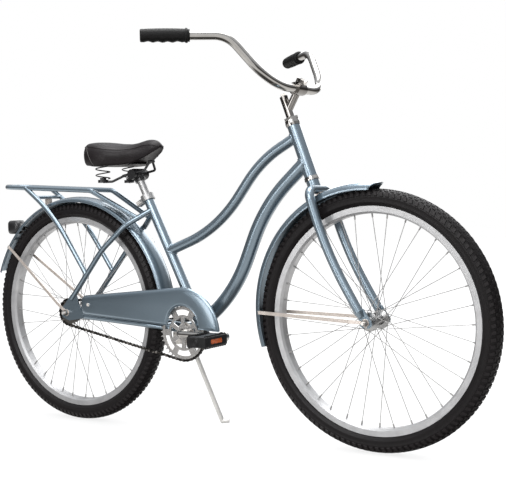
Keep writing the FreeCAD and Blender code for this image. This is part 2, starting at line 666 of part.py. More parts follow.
def bracket_parts():
    """Cups pressed into the shell and head tube, with the ball rings inside them."""
    shell_half, bore, spindle = size("shell_half_width"), size("shell_bore"), size("spindle_radius")
    lip, deep, race = 2.5, 9, 18
    cup = [(race, shell_half - deep), (bore, shell_half - deep), (bore, shell_half), (28, shell_half),
           (28, shell_half + lip), (race, shell_half + lip)]
    left_cup = turned("bottom_cup_left", cup, CRANK, ACROSS)
    right_cup = turned("bottom_cup_right", cup, CRANK, -ACROSS)
    keep("bottom_bracket_cups", group("bottom_bracket_cups", left_cup, right_cup))
    high, wide = size("cup_height"), size("cup_radius")
    stem = size("steerer_radius") + size("fit_gap")
    seat = stem + 3
    cup = [(seat, 0), (wide - 1, 0), (wide, high - 3), (wide, high), (seat, high)]
    upper = turned("headset_upper", cup, HEAD_TOP, STEER)
    lower = turned("headset_lower", cup, HEAD_FOOT, -STEER)
    keep("headset_cups", group("headset_cups", upper, lower))
    balls = []
    for side, axis in (("left", ACROSS), ("right", -ACROSS)):
        balls.append(ring("crank_balls_" + side, spindle + size("fit_gap"), race,
                          shell_half - 7, shell_half, CRANK, axis))
    balls.append(ring("head_balls_top", stem, seat, 2, 8, HEAD_TOP, STEER))
    balls.append(ring("head_balls_low", stem, seat, 2, 8, HEAD_FOOT, -STEER))
    keep("frame_bearings", group("frame_bearings", *balls))
    nut_low = high + size("run_gap")
    steerer = size("steerer_radius")
    cone_nut = ring("headset_cone", steerer, wide - 1, nut_low, nut_low + 6, HEAD_TOP, STEER)
    lock_nut = hexagon("headset_lock", 36, 6, steerer, HEAD_TOP + STEER * (nut_low + 6), STEER)
    keep("headset_nuts", group("headset_nuts", cone_nut, lock_nut))


# Fork and steering
CROWN = at(856, 0, 664)


def fork():
    gap = size("cup_height") + size("run_gap")
    race = HEAD_FOOT - STEER * gap
    low = STEER.dot(CROWN - HEAD_FOOT)
    foot = HEAD_FOOT + STEER * low
    neck = rod("steerer_neck", "Sizes.head_tube_radius", foot, race)
    top = HEAD_TOP + STEER * (size("cup_height") + size("run_gap") + 12)
    shaft = rod("steerer_shaft", "Sizes.steerer_radius", foot, top)
    crown = cylinder("crown_bar", "Sizes.blade_radius", "2 * Sizes.crown_half_width",
                     CROWN - ACROSS * size("crown_half_width"), ACROSS)
    hole = rod("steerer_hole", "Sizes.steerer_bore", HEAD_FOOT - STEER * 12, top + STEER)
    keep("fork_steerer", cut("fork_steerer", fuse("steerer_solid", neck, shaft, crown), hole))
    spread = size("fork_spread")
    start = CROWN - ACROSS * size("crown_half_width")
    shoulder = CROWN - ACROSS * spread
    rake = at(903, -spread, 508)
    ankle = at(991, -spread, 356)
    run = ankle - rake
    tip = ankle + run * (size("blade_tip_reach") / run.Length)
    bend = swept("blade_bend", "Sizes.blade_radius", [start, shoulder, rake, ankle], [26, 900])
    taper = cone("blade_taper", "Sizes.blade_radius", "Sizes.blade_tip_radius", ankle, tip)
    slot = size("front_axle_radius") + 0.2
    axle_x, axle_z = size("wheelbase"), size("tyre_radius")
    tab_outline = [(983, 372), (1003, 364), (1021, 338), ((1022, 320), (axle_x + slot, 316)),
                   (axle_x + slot, axle_z), ((axle_x, axle_z + slot), (axle_x - slot, axle_z)),
                   (axle_x - slot, 316), ((994, 322), (991, 333))]
    tab = plate("fork_tab", [tab_outline], "Sizes.fork_tab_thick", -size("fork_tab_face"))
    face = size("fork_tab_face")
    clear = cylinder("hub_room", "21", "2 * Sizes.fork_tab_face", FRONT - ACROSS * face, ACROSS)
    outside = cylinder("nut_room", "12", "40", FRONT - ACROSS * (face + size("fork_tab_thick") + 40), ACROSS)
    leg = cut("blade_trimmed", fuse("blade_leg", bend, taper), clear, outside)
    blade = fuse("blade_solid", leg, tab)
    keep("fork_blades", group("fork_blades", blade, mirror("blade_left", blade)))


# Stem and bars
STEM_FORK = HEAD_FOOT + STEER * 187
STEM_TOP = HEAD_FOOT + STEER * 226
BAR_CENTRE = at(808, 0, 926)


def stem():
    quill_foot = HEAD_FOOT + STEER * 92
    quill = rod("quill", "Sizes.quill_radius", quill_foot, STEM_TOP)
    arm = rod("stem_arm", "10", STEM_FORK, BAR_CENTRE)
    half = size("clamp_half_width")
    clamp = cylinder("stem_clamp", "Sizes.clamp_radius", "2 * Sizes.clamp_half_width",
                     BAR_CENTRE - ACROSS * half, ACROSS)
    forward = Vector(0.5, 0, 0.866)
    tilt = FreeCAD.Rotation(UPWARD, forward)
    ears = box("clamp_ears", 17, 2 * half - 12, 27, FreeCAD.Placement(BAR_CENTRE, tilt))
    slit = box("clamp_slit", 3, 2 * half + 2, 40, FreeCAD.Placement(BAR_CENTRE, tilt))
    hole = cylinder("clamp_hole", "Sizes.clamp_bore", "2 * Sizes.clamp_half_width + 2",
                    BAR_CENTRE - ACROSS * (half + 1), ACROSS)
    bolt_radius = 3
    bolt_axis = Vector(0.866, 0, -0.5)
    bolt_at = BAR_CENTRE + forward * 21.5
    bolt_hole = cylinder("clamp_bolt_hole", "%d" % bolt_radius, "60",
                         bolt_at - bolt_axis * 30, bolt_axis)
    draw_radius = 4
    draw_hole = cylinder("draw_hole", "%d" % draw_radius, "300", STEM_TOP - STEER * 250, STEER)
    solid = fuse("stem_solid", quill, arm, clamp, ears)
    keep("stem", cut("stem", solid, hole, slit, bolt_hole, draw_hole))
    clamp_bolt = fuse("clamp_bolt", cylinder("clamp_bolt_shank", "%d" % bolt_radius, "27",
                                             bolt_at - bolt_axis * 13.5, bolt_axis),
                      hexagon("clamp_bolt_head", 11, 5, 0, bolt_at + bolt_axis * 8.5, bolt_axis),
                      hexagon("clamp_bolt_nut", 11, 5, 0, bolt_at - bolt_axis * 13.5, bolt_axis))
    wedge_foot = quill_foot - STEER * 26
    draw_bolt = fuse("draw_bolt", rod("draw_shank", "%d" % draw_radius, wedge_foot + STEER * 4, STEM_TOP),
                     hexagon("draw_head", 13, 7, 0, STEM_TOP, STEER))
    wedge = cut("wedge", rod("wedge_solid", "Sizes.quill_radius", wedge_foot, quill_foot),
                rod("wedge_hole", "%d" % draw_radius, wedge_foot - STEER, quill_foot + STEER))
    keep("stem_bolts", group("stem_bolts", clamp_bolt, draw_bolt, wedge))


BAR_SHOULDER = at(808, -129, 926)
BAR_CROOK = at(729, -197, 1050)
BAR_END = at(568, -335, 1053)
BAR_BENDS = [120, 75]


def bars():
    half = [at(808, 0, 926), BAR_SHOULDER, BAR_CROOK, BAR_END]
    points = [mirrored(point) for point in reversed(half[1:])] + half[1:]
    keep("handlebar", bent_tube("handlebar", "Sizes.bar_radius", "(Sizes.bar_radius - Sizes.bar_bore)",
                                points, BAR_BENDS[::-1] + BAR_BENDS))
    along = (BAR_CROOK - BAR_END).normalize()
    length, wide, bore = size("grip_length"), size("grip_radius"), size("bar_radius")
    cap, flange = 3, 18.5
    outline = [(0, -cap), (wide - 2, -cap), (wide, 0), (wide, length - 12), (flange, length - 10),
               (flange, length - 6), (wide - 1, length - 4), (wide - 1, length),
               (bore, length), (bore, 0), (0, 0)]
    grip = turned("grip_plain", outline, BAR_END, along)
    sideways = along.cross(UPWARD).normalize()
    down = sideways.cross(along).normalize()
    down = down if down.z < 0 else down * -1
    scallops = []
    count, pitch, scoop = 4, 24, 15
    for index in range(count):
        middle = BAR_END + along * (17 + pitch * index) + down * (wide + scoop - 2.6)
        scallops.append(cylinder("scallop_%d" % index, "%d" % scoop, "60",
                                 middle - sideways * 30, sideways))
    right = cut("grip_right", grip, *scallops)
    keep("grips", group("grips", right, mirror("grip_left", right)))


# Fenders
def fender(name, centre, crown, edge, first, last):
    """A crowned strip that follows the tyre from the first angle to the last."""
    half, wall = size("fender_half_width"), size("fender_wall")
    knee_radius, knee_half = crown - 4, half - 9
    side_radius = crown - 0.6 * (crown - edge)
    outline = [((crown, 0), (knee_radius, -knee_half)),
               ((side_radius, 1 - half), (edge, -half)), (edge, wall - half),
               ((side_radius - 0.6, wall + 1 - half), (knee_radius - wall, 0.6 - knee_half)),
               ((crown - wall, 0), (knee_radius - wall, knee_half - 0.6)),
               ((side_radius - 0.6, half - wall - 1), (edge, half - wall)), (edge, half),
               ((side_radius, half - 1), (knee_radius, knee_half))]
    body = doc.addObject("PartDesign::Body", name)
    drawing = sketch_on(body, name + "_outline", "XZ_Plane", [outline])
    turn = body.newObject("PartDesign::Revolution", name + "_turn")
    turn.Profile = drawing
    turn.ReferenceAxis = (drawing, ["V_Axis"])
    turn.Angle = last - first
    spin = FreeCAD.Rotation(ACROSS, -first)
    body.Placement = FreeCAD.Placement(centre, spin.multiply(FreeCAD.Rotation(Vector(1, 0, 0), 90)))
    return body


def strap(name, start, end, eye_radius, hole):
    """A flat strap from an eye on the axle to the fender's edge, upright at both ends."""
    thick, wide = size("strap_thick"), size("strap_width")
    level = Vector(end.x - start.x, 0, end.z - start.z).normalize()
    points = [start, start + level * 46, end - level * 26, end]
    pieces = []
    for index, (here, after) in enumerate(zip(points, points[1:])):
        along = (after - here).normalize()
        across = along.cross(ACROSS).normalize()
        flat = across.cross(along).normalize()
        frame = FreeCAD.Matrix(flat.x, across.x, along.x, here.x, flat.y, across.y, along.y, here.y,
                               flat.z, across.z, along.z, here.z, 0, 0, 0, 1)
        pieces.append(box("%s_run_%d" % (name, index), thick, wide, (after - here).Length,
                          FreeCAD.Placement(frame)))
    eye = cylinder(name + "_eye", "%.3f" % eye_radius, "Sizes.strap_thick",
                   start - ACROSS * (thick / 2), ACROSS)
    opening = cylinder(name + "_hole", "%.3f" % hole, "20", start - ACROSS * 10, ACROSS)
    return cut(name, fuse(name + "_solid", eye, *pieces), opening)


REAR_FENDER = (4, 158.6)
REAR_ARC = REAR + Vector(4, 0, -7)
FRONT_FENDER = (81.6, 197)
FRONT_ARC = FRONT + Vector(-17, 0, 17)


def front_fender():
    """The front strip, with its leading end rounded to a tongue."""
    crown, half = size("fender_radius"), size("fender_half_width")
    strip = fender("front_strip", FRONT_ARC, crown, crown - size("fender_side"), *FRONT_FENDER)
    tip = FRONT_ARC.x + crown * math.cos(math.radians(FRONT_FENDER[0]))
    middle = Vector(tip - half, 0, FRONT_ARC.z + 250)
    high, reach = 120, 2 * half
    beyond = box("tongue_corners", reach, 3 * half, high, placed(middle + Vector(reach / 2, 0, 0)))
    round_end = cylinder("tongue_round", "Sizes.fender_half_width", "%d" % high, middle)
    return cut("front_fender", strip, cut("tongue_waste", beyond, round_end))


def fenders():
    crown = size("rear_fender_radius")
    edge = crown - size("rear_fender_side")
    keep("rear_fender", fender("rear_fender", REAR_ARC, crown, edge, *REAR_FENDER))
    keep("front_fender", front_fender())
    thick = size("strap_thick")
    side = size("fender_half_width") + thick / 2 + 0.4
    rear_y = size("dropout_face") + size("dropout_thick") + thick / 2
    start, end = REAR - ACROSS * rear_y, at(-274, -side, 531)
    rear_strap = strap("rear_strap", start, end, 10, size("rear_axle_radius") + 0.2)
    foot = 655
    bracket = box("rear_fender_bracket", 16, 14, CROSS_BAR.z - size("rack_bar_radius") - foot,
                  placed(Vector(CROSS_BAR.x, 0, foot)))
    trimmed = cut("rear_bracket", bracket, cylinder("rear_crown", "Sizes.rear_fender_radius + 0.05", "80",
                                                    REAR_ARC - ACROSS * 40, ACROSS))
    keep("rear_fender_stays", group("rear_fender_stays", rear_strap, mirror("rear_strap_left", rear_strap),
                                    trimmed))
    front_y = size("fork_tab_face") + size("fork_tab_thick") + thick / 2
    start, end = FRONT - ACROSS * front_y, at(678, -side, 345)
    front_strap = strap("front_strap", start, end, 10, size("front_axle_radius") + 0.2)
    out = (CROWN - FRONT_ARC).normalize()
    base = FRONT_ARC + out * (size("fender_radius") + 0.1)
    reach = (CROWN - base).Length - size("blade_radius") - 0.05
    bracket = box("front_bracket_solid", 14, 18, reach + 6, placed(base, out))
    bracket = cut("front_bracket", bracket, cylinder("crown_room", "Sizes.blade_radius + 0.05", "60",
                                                     CROWN - ACROSS * 30, ACROSS))
    keep("front_fender_stays", group("front_fender_stays", front_strap,
                                     mirror("front_strap_left", front_strap), bracket))


REFLECTOR = at(-282, 0, 591)


def reflector():
    back = Vector(-1, 0, 0)
    cup = cylinder("reflector_cup", "22.5", "70", REFLECTOR - back * 70, back)
    skin = cylinder("fender_skin", "Sizes.rear_fender_radius + 0.1", "80",
                    REAR_ARC - ACROSS * 40, ACROSS)
    room = cylinder("lens_room", "20", "10", REFLECTOR - back * 4, back)
    keep("rear_reflector", cut("rear_reflector", cup, skin, room))
    keep("reflector_lens", cylinder("reflector_lens", "19.8", "3.5", REFLECTOR - back * 3.9, back))


# Chain guard
GUARD_LOBE = (438, 284)
GUARD_ARCH = (441, 305)


def guard_outline(inset, low_edge):
    """Rounded rear end, straight top and bottom edges, and a round front lobe."""
    radius = size("guard_lobe_radius") - inset
    rise = polar(GUARD_LOBE, radius, 93)
    nose = polar(GUARD_LOBE, radius, 4)
    front = [(nose[0], nose[1] - low_edge), nose] if low_edge else [nose]
    return [(64 + inset, 327 - low_edge)] + front + [
        (polar(GUARD_LOBE, radius, 48), rise), (76 + inset, 383 - inset),
        ((62 + inset, 376 - inset), (58 + inset, 362)), (58 + inset, 338)]


def chain_guard():
    face, deep, sheet_thick = size("guard_face"), size("guard_depth"), size("guard_sheet")
    outer = plate("guard_outer", [guard_outline(0, 0)], "Sizes.guard_depth", face + deep)
    inner = plate("guard_inner", [guard_outline(sheet_thick, 12)], "Sizes.guard_depth - Sizes.guard_sheet",
                  face + deep)
    arch = cylinder("guard_arch", "Sizes.guard_arch_radius", "60",
                    at(GUARD_ARCH[0], -90, GUARD_ARCH[1]), ACROSS)
    room = box("guard_dropout_room", 30, 20, 120, placed(at(62, face + sheet_thick + 10, 300)))
    keep("chain_guard", cut("chain_guard", outer, inner, arch, room))


# Seat post, saddle and kickstand
POST_TOP = 733
SADDLE_PIVOT = at(253, 0, 733)
NOSE_ROD = at(304, 0, 768)
SPRING_X, SPRING_Y, SPRING_LOW, SPRING_HIGH = 168, 57, 721.4, 761.6
BASE_LOW, BASE_HIGH = 762, 765


def seat_parts():
    top, foot = on_seat_line(POST_TOP), on_seat_line(560)
    collar_low = on_seat_line(size("seat_tube_top") - 16)
    collar_top = on_seat_line(size("seat_tube_top"))
    keep("seat_post", rod("seat_post", "Sizes.post_radius", foot, top))
    rear = Vector(-SEAT_UP.z, 0, SEAT_UP.x)
    turn = FreeCAD.Placement(collar_low, FreeCAD.Rotation(UPWARD, SEAT_UP))
    ear_long = 26
    ears = box("collar_ears", ear_long, 16, 15,
               FreeCAD.Placement(collar_low + rear * 27, turn.Rotation))
    slit = box("collar_slit", 60, 4, 60,
               FreeCAD.Placement(collar_low + rear * 32 - SEAT_UP * 20, turn.Rotation))
    collar = fuse("collar_solid", rod("collar_round", "19", collar_low, collar_top), ears)
    bore = rod("collar_bore", "Sizes.seat_tube_radius", collar_low - SEAT_UP, collar_top + SEAT_UP)
    bolt_at = collar_low + rear * 32 + SEAT_UP * 7.5
    bolt_hole = cylinder("collar_bolt_hole", "3", "60", bolt_at - ACROSS * 30, ACROSS)
    keep("seat_clamp", cut("seat_clamp", collar, bore, slit, bolt_hole))
    guts = fuse("clamp_guts", cylinder("clamp_barrel", "17", "40", SADDLE_PIVOT - ACROSS * 20, ACROSS),
                rod("clamp_socket", "16", top - SEAT_UP * 22, top + SEAT_UP * 3))
    socket_hole = rod("clamp_socket_hole", "Sizes.post_radius", top - SEAT_UP * 40, top)
    keep("saddle_clamp", cut("saddle_clamp", guts, socket_hole))
    return bolt_at


def saddle_rails():
    """Two bent rods from the nose to the feet that carry the springs."""
    rails = []
    for side, sign in (("right", -1), ("left", 1)):
        points = [NOSE_ROD + ACROSS * (sign * 6), at(298, sign * 24, 743), at(228, sign * 27, 732),
                  at(192, sign * 44, 715), at(SPRING_X, sign * SPRING_Y, 715)]
        rails.append(swept("rail_" + side, "Sizes.rail_radius", points, [10, 40, 14]))
        foot = at(SPRING_X, sign * SPRING_Y, 713)
        rails.append(cylinder("spring_foot_" + side, "15", "8", foot))
        rails.append(cylinder("spring_guide_" + side, "9", "14", foot))
        washer = at(SADDLE_PIVOT.x + size("wheelbase") / 2, sign * 20.4, SADDLE_PIVOT.z)
        rails.append(cylinder("rail_washer_" + side, "15", "11", washer, ACROSS * sign))
    rails.append(rod("rail_nose", "4", NOSE_ROD - ACROSS * 12, NOSE_ROD + ACROSS * 12))
    keep("saddle_rails", fuse("saddle_rails", *rails))


def biarc(start, start_along, end, end_along):
    """Two tangent arcs from one point and direction to another."""
    chord = end - start
    total = start_along + end_along
    spread = 2 * (1 - start_along.dot(end_along))
    reach = (-chord.dot(total) + math.sqrt(chord.dot(total) ** 2 + spread * chord.dot(chord))) / spread
    first, second = start + start_along * reach, end - end_along * reach
    joint = (first + second) * 0.5
    edges = []
    for begin, corner, finish in ((start, first, joint), (joint, second, end)):
        middle = (begin + finish) * 0.5
        half = (finish - begin).Length / 2
        lean = math.acos(min(1, half / reach))
        edges.append(Part.Arc(begin, middle + (corner - middle) * (math.tan(lean / 2) / math.tan(lean)),
                              finish).toShape())
    return edges


def helix_point(centre, radius, low, rise, turn):
    angle = 2 * math.pi * turn
    out = Vector(math.cos(angle), math.sin(angle), 0)
    point = centre + out * radius + UPWARD * (low + rise * turn)
    along = Vector(-out.y, out.x, 0) * (2 * math.pi * radius) + UPWARD * rise
    return point, along.normalize()


def saddle_springs():
    """Two coil springs, each one unbroken wire of biarcs a quarter turn long."""
    radius, wire, turns = size("spring_radius"), size("spring_wire"), size("spring_turns")
    low, high = SPRING_LOW + wire, SPRING_HIGH - wire
    rise = (high - low) / turns
    coils = []
    for sign in (-1, 1):
        centre = at(SPRING_X, sign * SPRING_Y, 0)
        edges = []
        quarters = int(turns * 4)
        for quarter in range(quarters):
            start = helix_point(centre, radius, low, rise, quarter / 4)
            end = helix_point(centre, radius, low, rise, (quarter + 1) / 4)
            edges += biarc(*start, *end)
        first, along = helix_point(centre, radius, low, rise, 0)
        section = Part.Wire(Part.Circle(first, along, wire).toShape())
        coils.append(Part.Wire(edges).makePipeShell([section], True, False))
    samples = [helix_point(Vector(), radius, 0, rise, count / 72)[0] for count in range(int(72 * turns))]
    gap = min((a - b).Length for index, a in enumerate(samples) for b in samples[index + 36:])
    print("least gap between spring coils: %.2f mm" % (gap - 2 * wire))
    solid = doc.addObject("Part::Feature", "saddle_springs")
    solid.Shape = Part.makeCompound(coils)
    keep("saddle_springs", solid)


# Saddle sections from tail to nose: x, half width, shoulder half width, low, shoulder and crown heights
SADDLE_SECTIONS = [
    (96, 42, 31, 774, 806, 817), (106, 70, 55, 766, 823, 831), (129, 91, 75, 760, 829, 835),
    (164, 98, 80, 757, 824, 830), (202, 92, 72, 757, 815, 823), (238, 72, 52, 757, 811, 821),
    (270, 50, 36, 762, 813, 825), (303, 34, 24, 776, 820, 832), (329, 25, 18, 790, 817, 828),
    (345, 12, 8, 800, 808, 814)]


def saddle_cover():
    """Crowned cushion, wide at the tail, dipped in the middle and raised at the nose."""
    sections = []
    for x, half, shoulder, low, side, crown in SADDLE_SECTIONS:
        foot = half * 0.9
        bulge = low + (side - low) * 0.45
        corners = [at(x, -foot, low), at(x, foot, low), at(x, shoulder, side), at(x, -shoulder, side)]
        edges = [Part.LineSegment(corners[0], corners[1]).toShape(),
                 Part.Arc(corners[1], at(x, half, bulge), corners[2]).toShape(),
                 Part.Arc(corners[2], at(x, 0, crown), corners[3]).toShape(),
                 Part.Arc(corners[3], at(x, -half, bulge), corners[0]).toShape()]
        sections.append(Part.Wire(edges))
    cushion = doc.addObject("Part::Feature", "saddle_cushion")
    cushion.Shape = Part.makeLoft(sections, True, False)
    depth = 30
    pocket = saddle_pan("saddle_pocket", 0.6, BASE_HIGH + 0.1 - depth, depth)
    keep("saddle_cover", cut("saddle_cover", cushion, pocket))


def saddle_pan(name, margin, low, thick):
    """A flat plate of the cushion's plan, drawn out by a margin."""
    body = doc.addObject("PartDesign::Body", name)
    shift = size("wheelbase") / 2
    tail, nose = 124 - shift - margin, 268 - shift + margin
    hip, thigh = 164 - shift, 246 - shift
    right = [(tail, -40 - margin), ((140 - shift - margin, -69 - margin), (hip, -80 - margin)),
             ((208 - shift, -68 - margin), (thigh, -38 - margin)), (nose, -26 - margin)]
    left = [(nose, 26 + margin), (thigh, 38 + margin), ((208 - shift, 68 + margin), (hip, 80 + margin)),
            ((140 - shift - margin, 69 + margin), (tail, 40 + margin))]
    drawing = sketch_on(body, name + "_outline", "XY_Plane", [right + left])
    pad = body.newObject("PartDesign::Pad", name + "_pad")
    pad.Profile = drawing
    pad.Length = thick
    body.Placement.Base = Vector(0, 0, low)
    return body


def saddle_base():
    """The pan that the springs push on, let into the cushion's underside."""
    keep("saddle_base", saddle_pan("saddle_base", 0, BASE_LOW, BASE_HIGH - BASE_LOW))


KICK_PIVOT = at(395, 30, 256)
KICK_DOWN = Vector(0.25, 0.25, -1).normalize()
KICK_FOLDED = Vector(-0.98, 0.199, 0).normalize()
KICK_AXIS = KICK_DOWN.cross(KICK_FOLDED).normalize()


def kickstand():
    """A bracket under the chain stays with a slanted pin, and the leg that turns on it."""
    boss, pin = 8, 6
    cheek = cylinder("kick_cheek", "13", "14", KICK_PIVOT - KICK_AXIS * (boss + 0.4 + 14), KICK_AXIS)
    pin_solid = cylinder("kick_pin", "%d" % pin, "36", KICK_PIVOT - KICK_AXIS * 24, KICK_AXIS)
    cap = cylinder("kick_cap", "10", "3", KICK_PIVOT + KICK_AXIS * (boss + 0.4), KICK_AXIS)
    block = box("kick_block", 34, 36, 34, placed(at(393, -2, 247)))
    shell_room = cylinder("kick_shell_room", "Sizes.shell_radius + 0.5", "120",
                          CRANK - ACROSS * 60, ACROSS)
    stay_right = swept("kick_stay_room", "Sizes.chain_stay_radius + 0.02",
                       CHAIN_STAY_POINTS, CHAIN_STAY_BENDS)
    stay_left = mirror("kick_stay_room_left", stay_right)
    bracket = fuse("kick_bracket_solid", cheek, pin_solid, cap, block)
    keep("kickstand_bracket", cut("kickstand_bracket", bracket, shell_room, stay_right, stay_left))
    foot = KICK_PIVOT + KICK_DOWN * size("kick_length")
    leg = rod("kick_leg", "Sizes.kick_radius", KICK_PIVOT, foot)
    toe = cylinder("kick_toe", "Sizes.kick_radius", "20", foot, Vector(0.86, 0.5, 0.05))
    ball = doc.addObject("Part::Sphere", "kick_heel")
    ball.setExpression("Radius", "Sizes.kick_radius")
    ball.Placement.Base = foot
    round_boss = cylinder("kick_boss", "12", "%d" % (2 * boss), KICK_PIVOT - KICK_AXIS * boss, KICK_AXIS)
    eye = cylinder("kick_eye", "%.3f" % (pin + size("fit_gap")), "60",
                   KICK_PIVOT - KICK_AXIS * 30, KICK_AXIS)
    keep("kickstand_leg", cut("kickstand_leg", fuse("kick_leg_solid", leg, toe, ball, round_boss), eye))


def brake_arm():
    """Coaster brake arm: a strip from the hub's left end to a strap round the left chain stay."""
    wheel_z = size("tyre_radius")
    outline = [((0, wheel_z - 13), (9, wheel_z - 9)), (47, 301), (158, 292), (160, 305), (138, 305),
               (136, 303), (52, 309), (13, wheel_z), ((0, wheel_z + 13), (-13, wheel_z))]
    hole = ((0, wheel_z), size("rear_axle_radius") + size("fit_gap"))
    arm = plate("brake_arm_plate", [outline, hole], "3", 53.4)
    first, second = mirrored(CHAIN_STAY_POINTS[0]), mirrored(CHAIN_STAY_POINTS[1])
    along = (second - first).normalize()
    middle = first + along * 104
    clip = tube("brake_clip", "Sizes.chain_stay_radius + 2", "Sizes.chain_stay_radius + 0.02",
                middle - along * 6, middle + along * 6)
    stay_room = rod("brake_stay_room", "Sizes.chain_stay_radius + 0.02",
                    middle - along * 60, middle + along * 60)
    keep("coaster_brake_arm", cut("coaster_brake_arm", fuse("brake_arm_solid", arm, clip), stay_room))


def bolts(collar_bolt):
    """Bolts that hold the collar, the guard, the reflector and the straps."""
    shank = cylinder("collar_bolt_shank", "3", "26", collar_bolt - ACROSS * 13, ACROSS)
    head = hexagon("collar_bolt_head", 11, 5, 0, collar_bolt - ACROSS * 8, -ACROSS)
    nut = hexagon("collar_bolt_nut", 11, 5, 0, collar_bolt + ACROSS * 8, ACROSS)
    guard = size("guard_face")
    screws = [fuse("collar_bolt", shank, head, nut)]
    screws.append(cylinder("guard_screw", "5", "2.5", at(92, guard, 356), -ACROSS))
    side = size("fender_half_width") + size("strap_thick") + 0.4
    for index, sign in enumerate((-1, 1)):
        screws.append(cylinder("strap_screw_%d" % index, "4", "2.5",
                               at(-270, sign * side, 527.5), ACROSS * sign))
    keep("frame_bolts", group("frame_bolts", *screws))


shell_solid, seat_solid = frame_tubes()
rack(stays(shell_solid, seat_solid))
wheels()
drive()
crank()
pedals()
axles()
bracket_parts()
fork()
stem()
bars()
fenders()
reflector()
chain_guard()
collar_bolt_place = seat_parts()
saddle_rails()
saddle_springs()
saddle_cover()
saddle_base()
kickstand()
brake_arm()
bolts(collar_bolt_place)
doc.recompute()

faults = [item.Name for item in doc.Objects if "Invalid" in item.State or "Error" in item.State]
for node, solid in nodes:
    if solid.Shape.isNull() or not solid.Shape.isValid() or not solid.Shape.Solids:
        faults.append(node)
if faults:
    raise RuntimeError("failed objects: " + ", ".join(faults))

os.makedirs("parts", exist_ok=True)
for node, solid in nodes:
    solid.Shape.exportStep("parts/%s.step" % node)
print("%d nodes written" % len(nodes))
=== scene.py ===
import json
import math
from collections import namedtuple

import bpy
from mathutils import Euler, Matrix, Vector


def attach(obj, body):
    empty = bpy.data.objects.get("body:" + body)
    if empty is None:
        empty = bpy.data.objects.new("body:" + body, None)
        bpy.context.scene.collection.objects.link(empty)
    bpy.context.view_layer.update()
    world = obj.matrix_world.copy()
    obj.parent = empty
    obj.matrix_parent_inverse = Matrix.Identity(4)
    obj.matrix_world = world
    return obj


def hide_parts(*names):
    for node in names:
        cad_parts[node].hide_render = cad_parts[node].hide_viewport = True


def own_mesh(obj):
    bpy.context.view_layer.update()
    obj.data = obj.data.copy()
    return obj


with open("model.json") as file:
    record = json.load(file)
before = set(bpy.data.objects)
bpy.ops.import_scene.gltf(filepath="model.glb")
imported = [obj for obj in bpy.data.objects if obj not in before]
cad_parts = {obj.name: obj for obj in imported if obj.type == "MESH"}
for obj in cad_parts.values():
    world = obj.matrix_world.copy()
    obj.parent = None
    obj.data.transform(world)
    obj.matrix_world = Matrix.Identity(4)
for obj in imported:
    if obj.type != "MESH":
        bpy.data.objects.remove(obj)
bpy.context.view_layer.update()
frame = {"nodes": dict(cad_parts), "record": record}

# Pieces are given in millimetres from the ground under the rear axle: x forward, y to the left, z up
WHEELBASE = 1008
AXLE_HEIGHT = 330
CRANK_X, CRANK_Z, CRANK_LENGTH = 434.2, 283.5, 165


def place(x, y, z):
    """A point given in those millimetres, in the frame's metres."""
    return Vector(((x - WHEELBASE / 2) / 1000, y / 1000, z / 1000))


REAR = place(0, 0, AXLE_HEIGHT)
FRONT = place(WHEELBASE, 0, AXLE_HEIGHT)
SIDEWAYS = Vector((0, 1, 0))
UPWARD = Vector((0, 0, 1))
CORNERS = ((-1, -1), (1, -1), (1, 1), (-1, 1))

# Materials: a noise mostly stays between these values
NOISE_LOW = 0.3
NOISE_HIGH = 0.7


def shade(tone, factor):
    """A tone made darker or lighter."""
    return tuple(channel * factor for channel in tone)


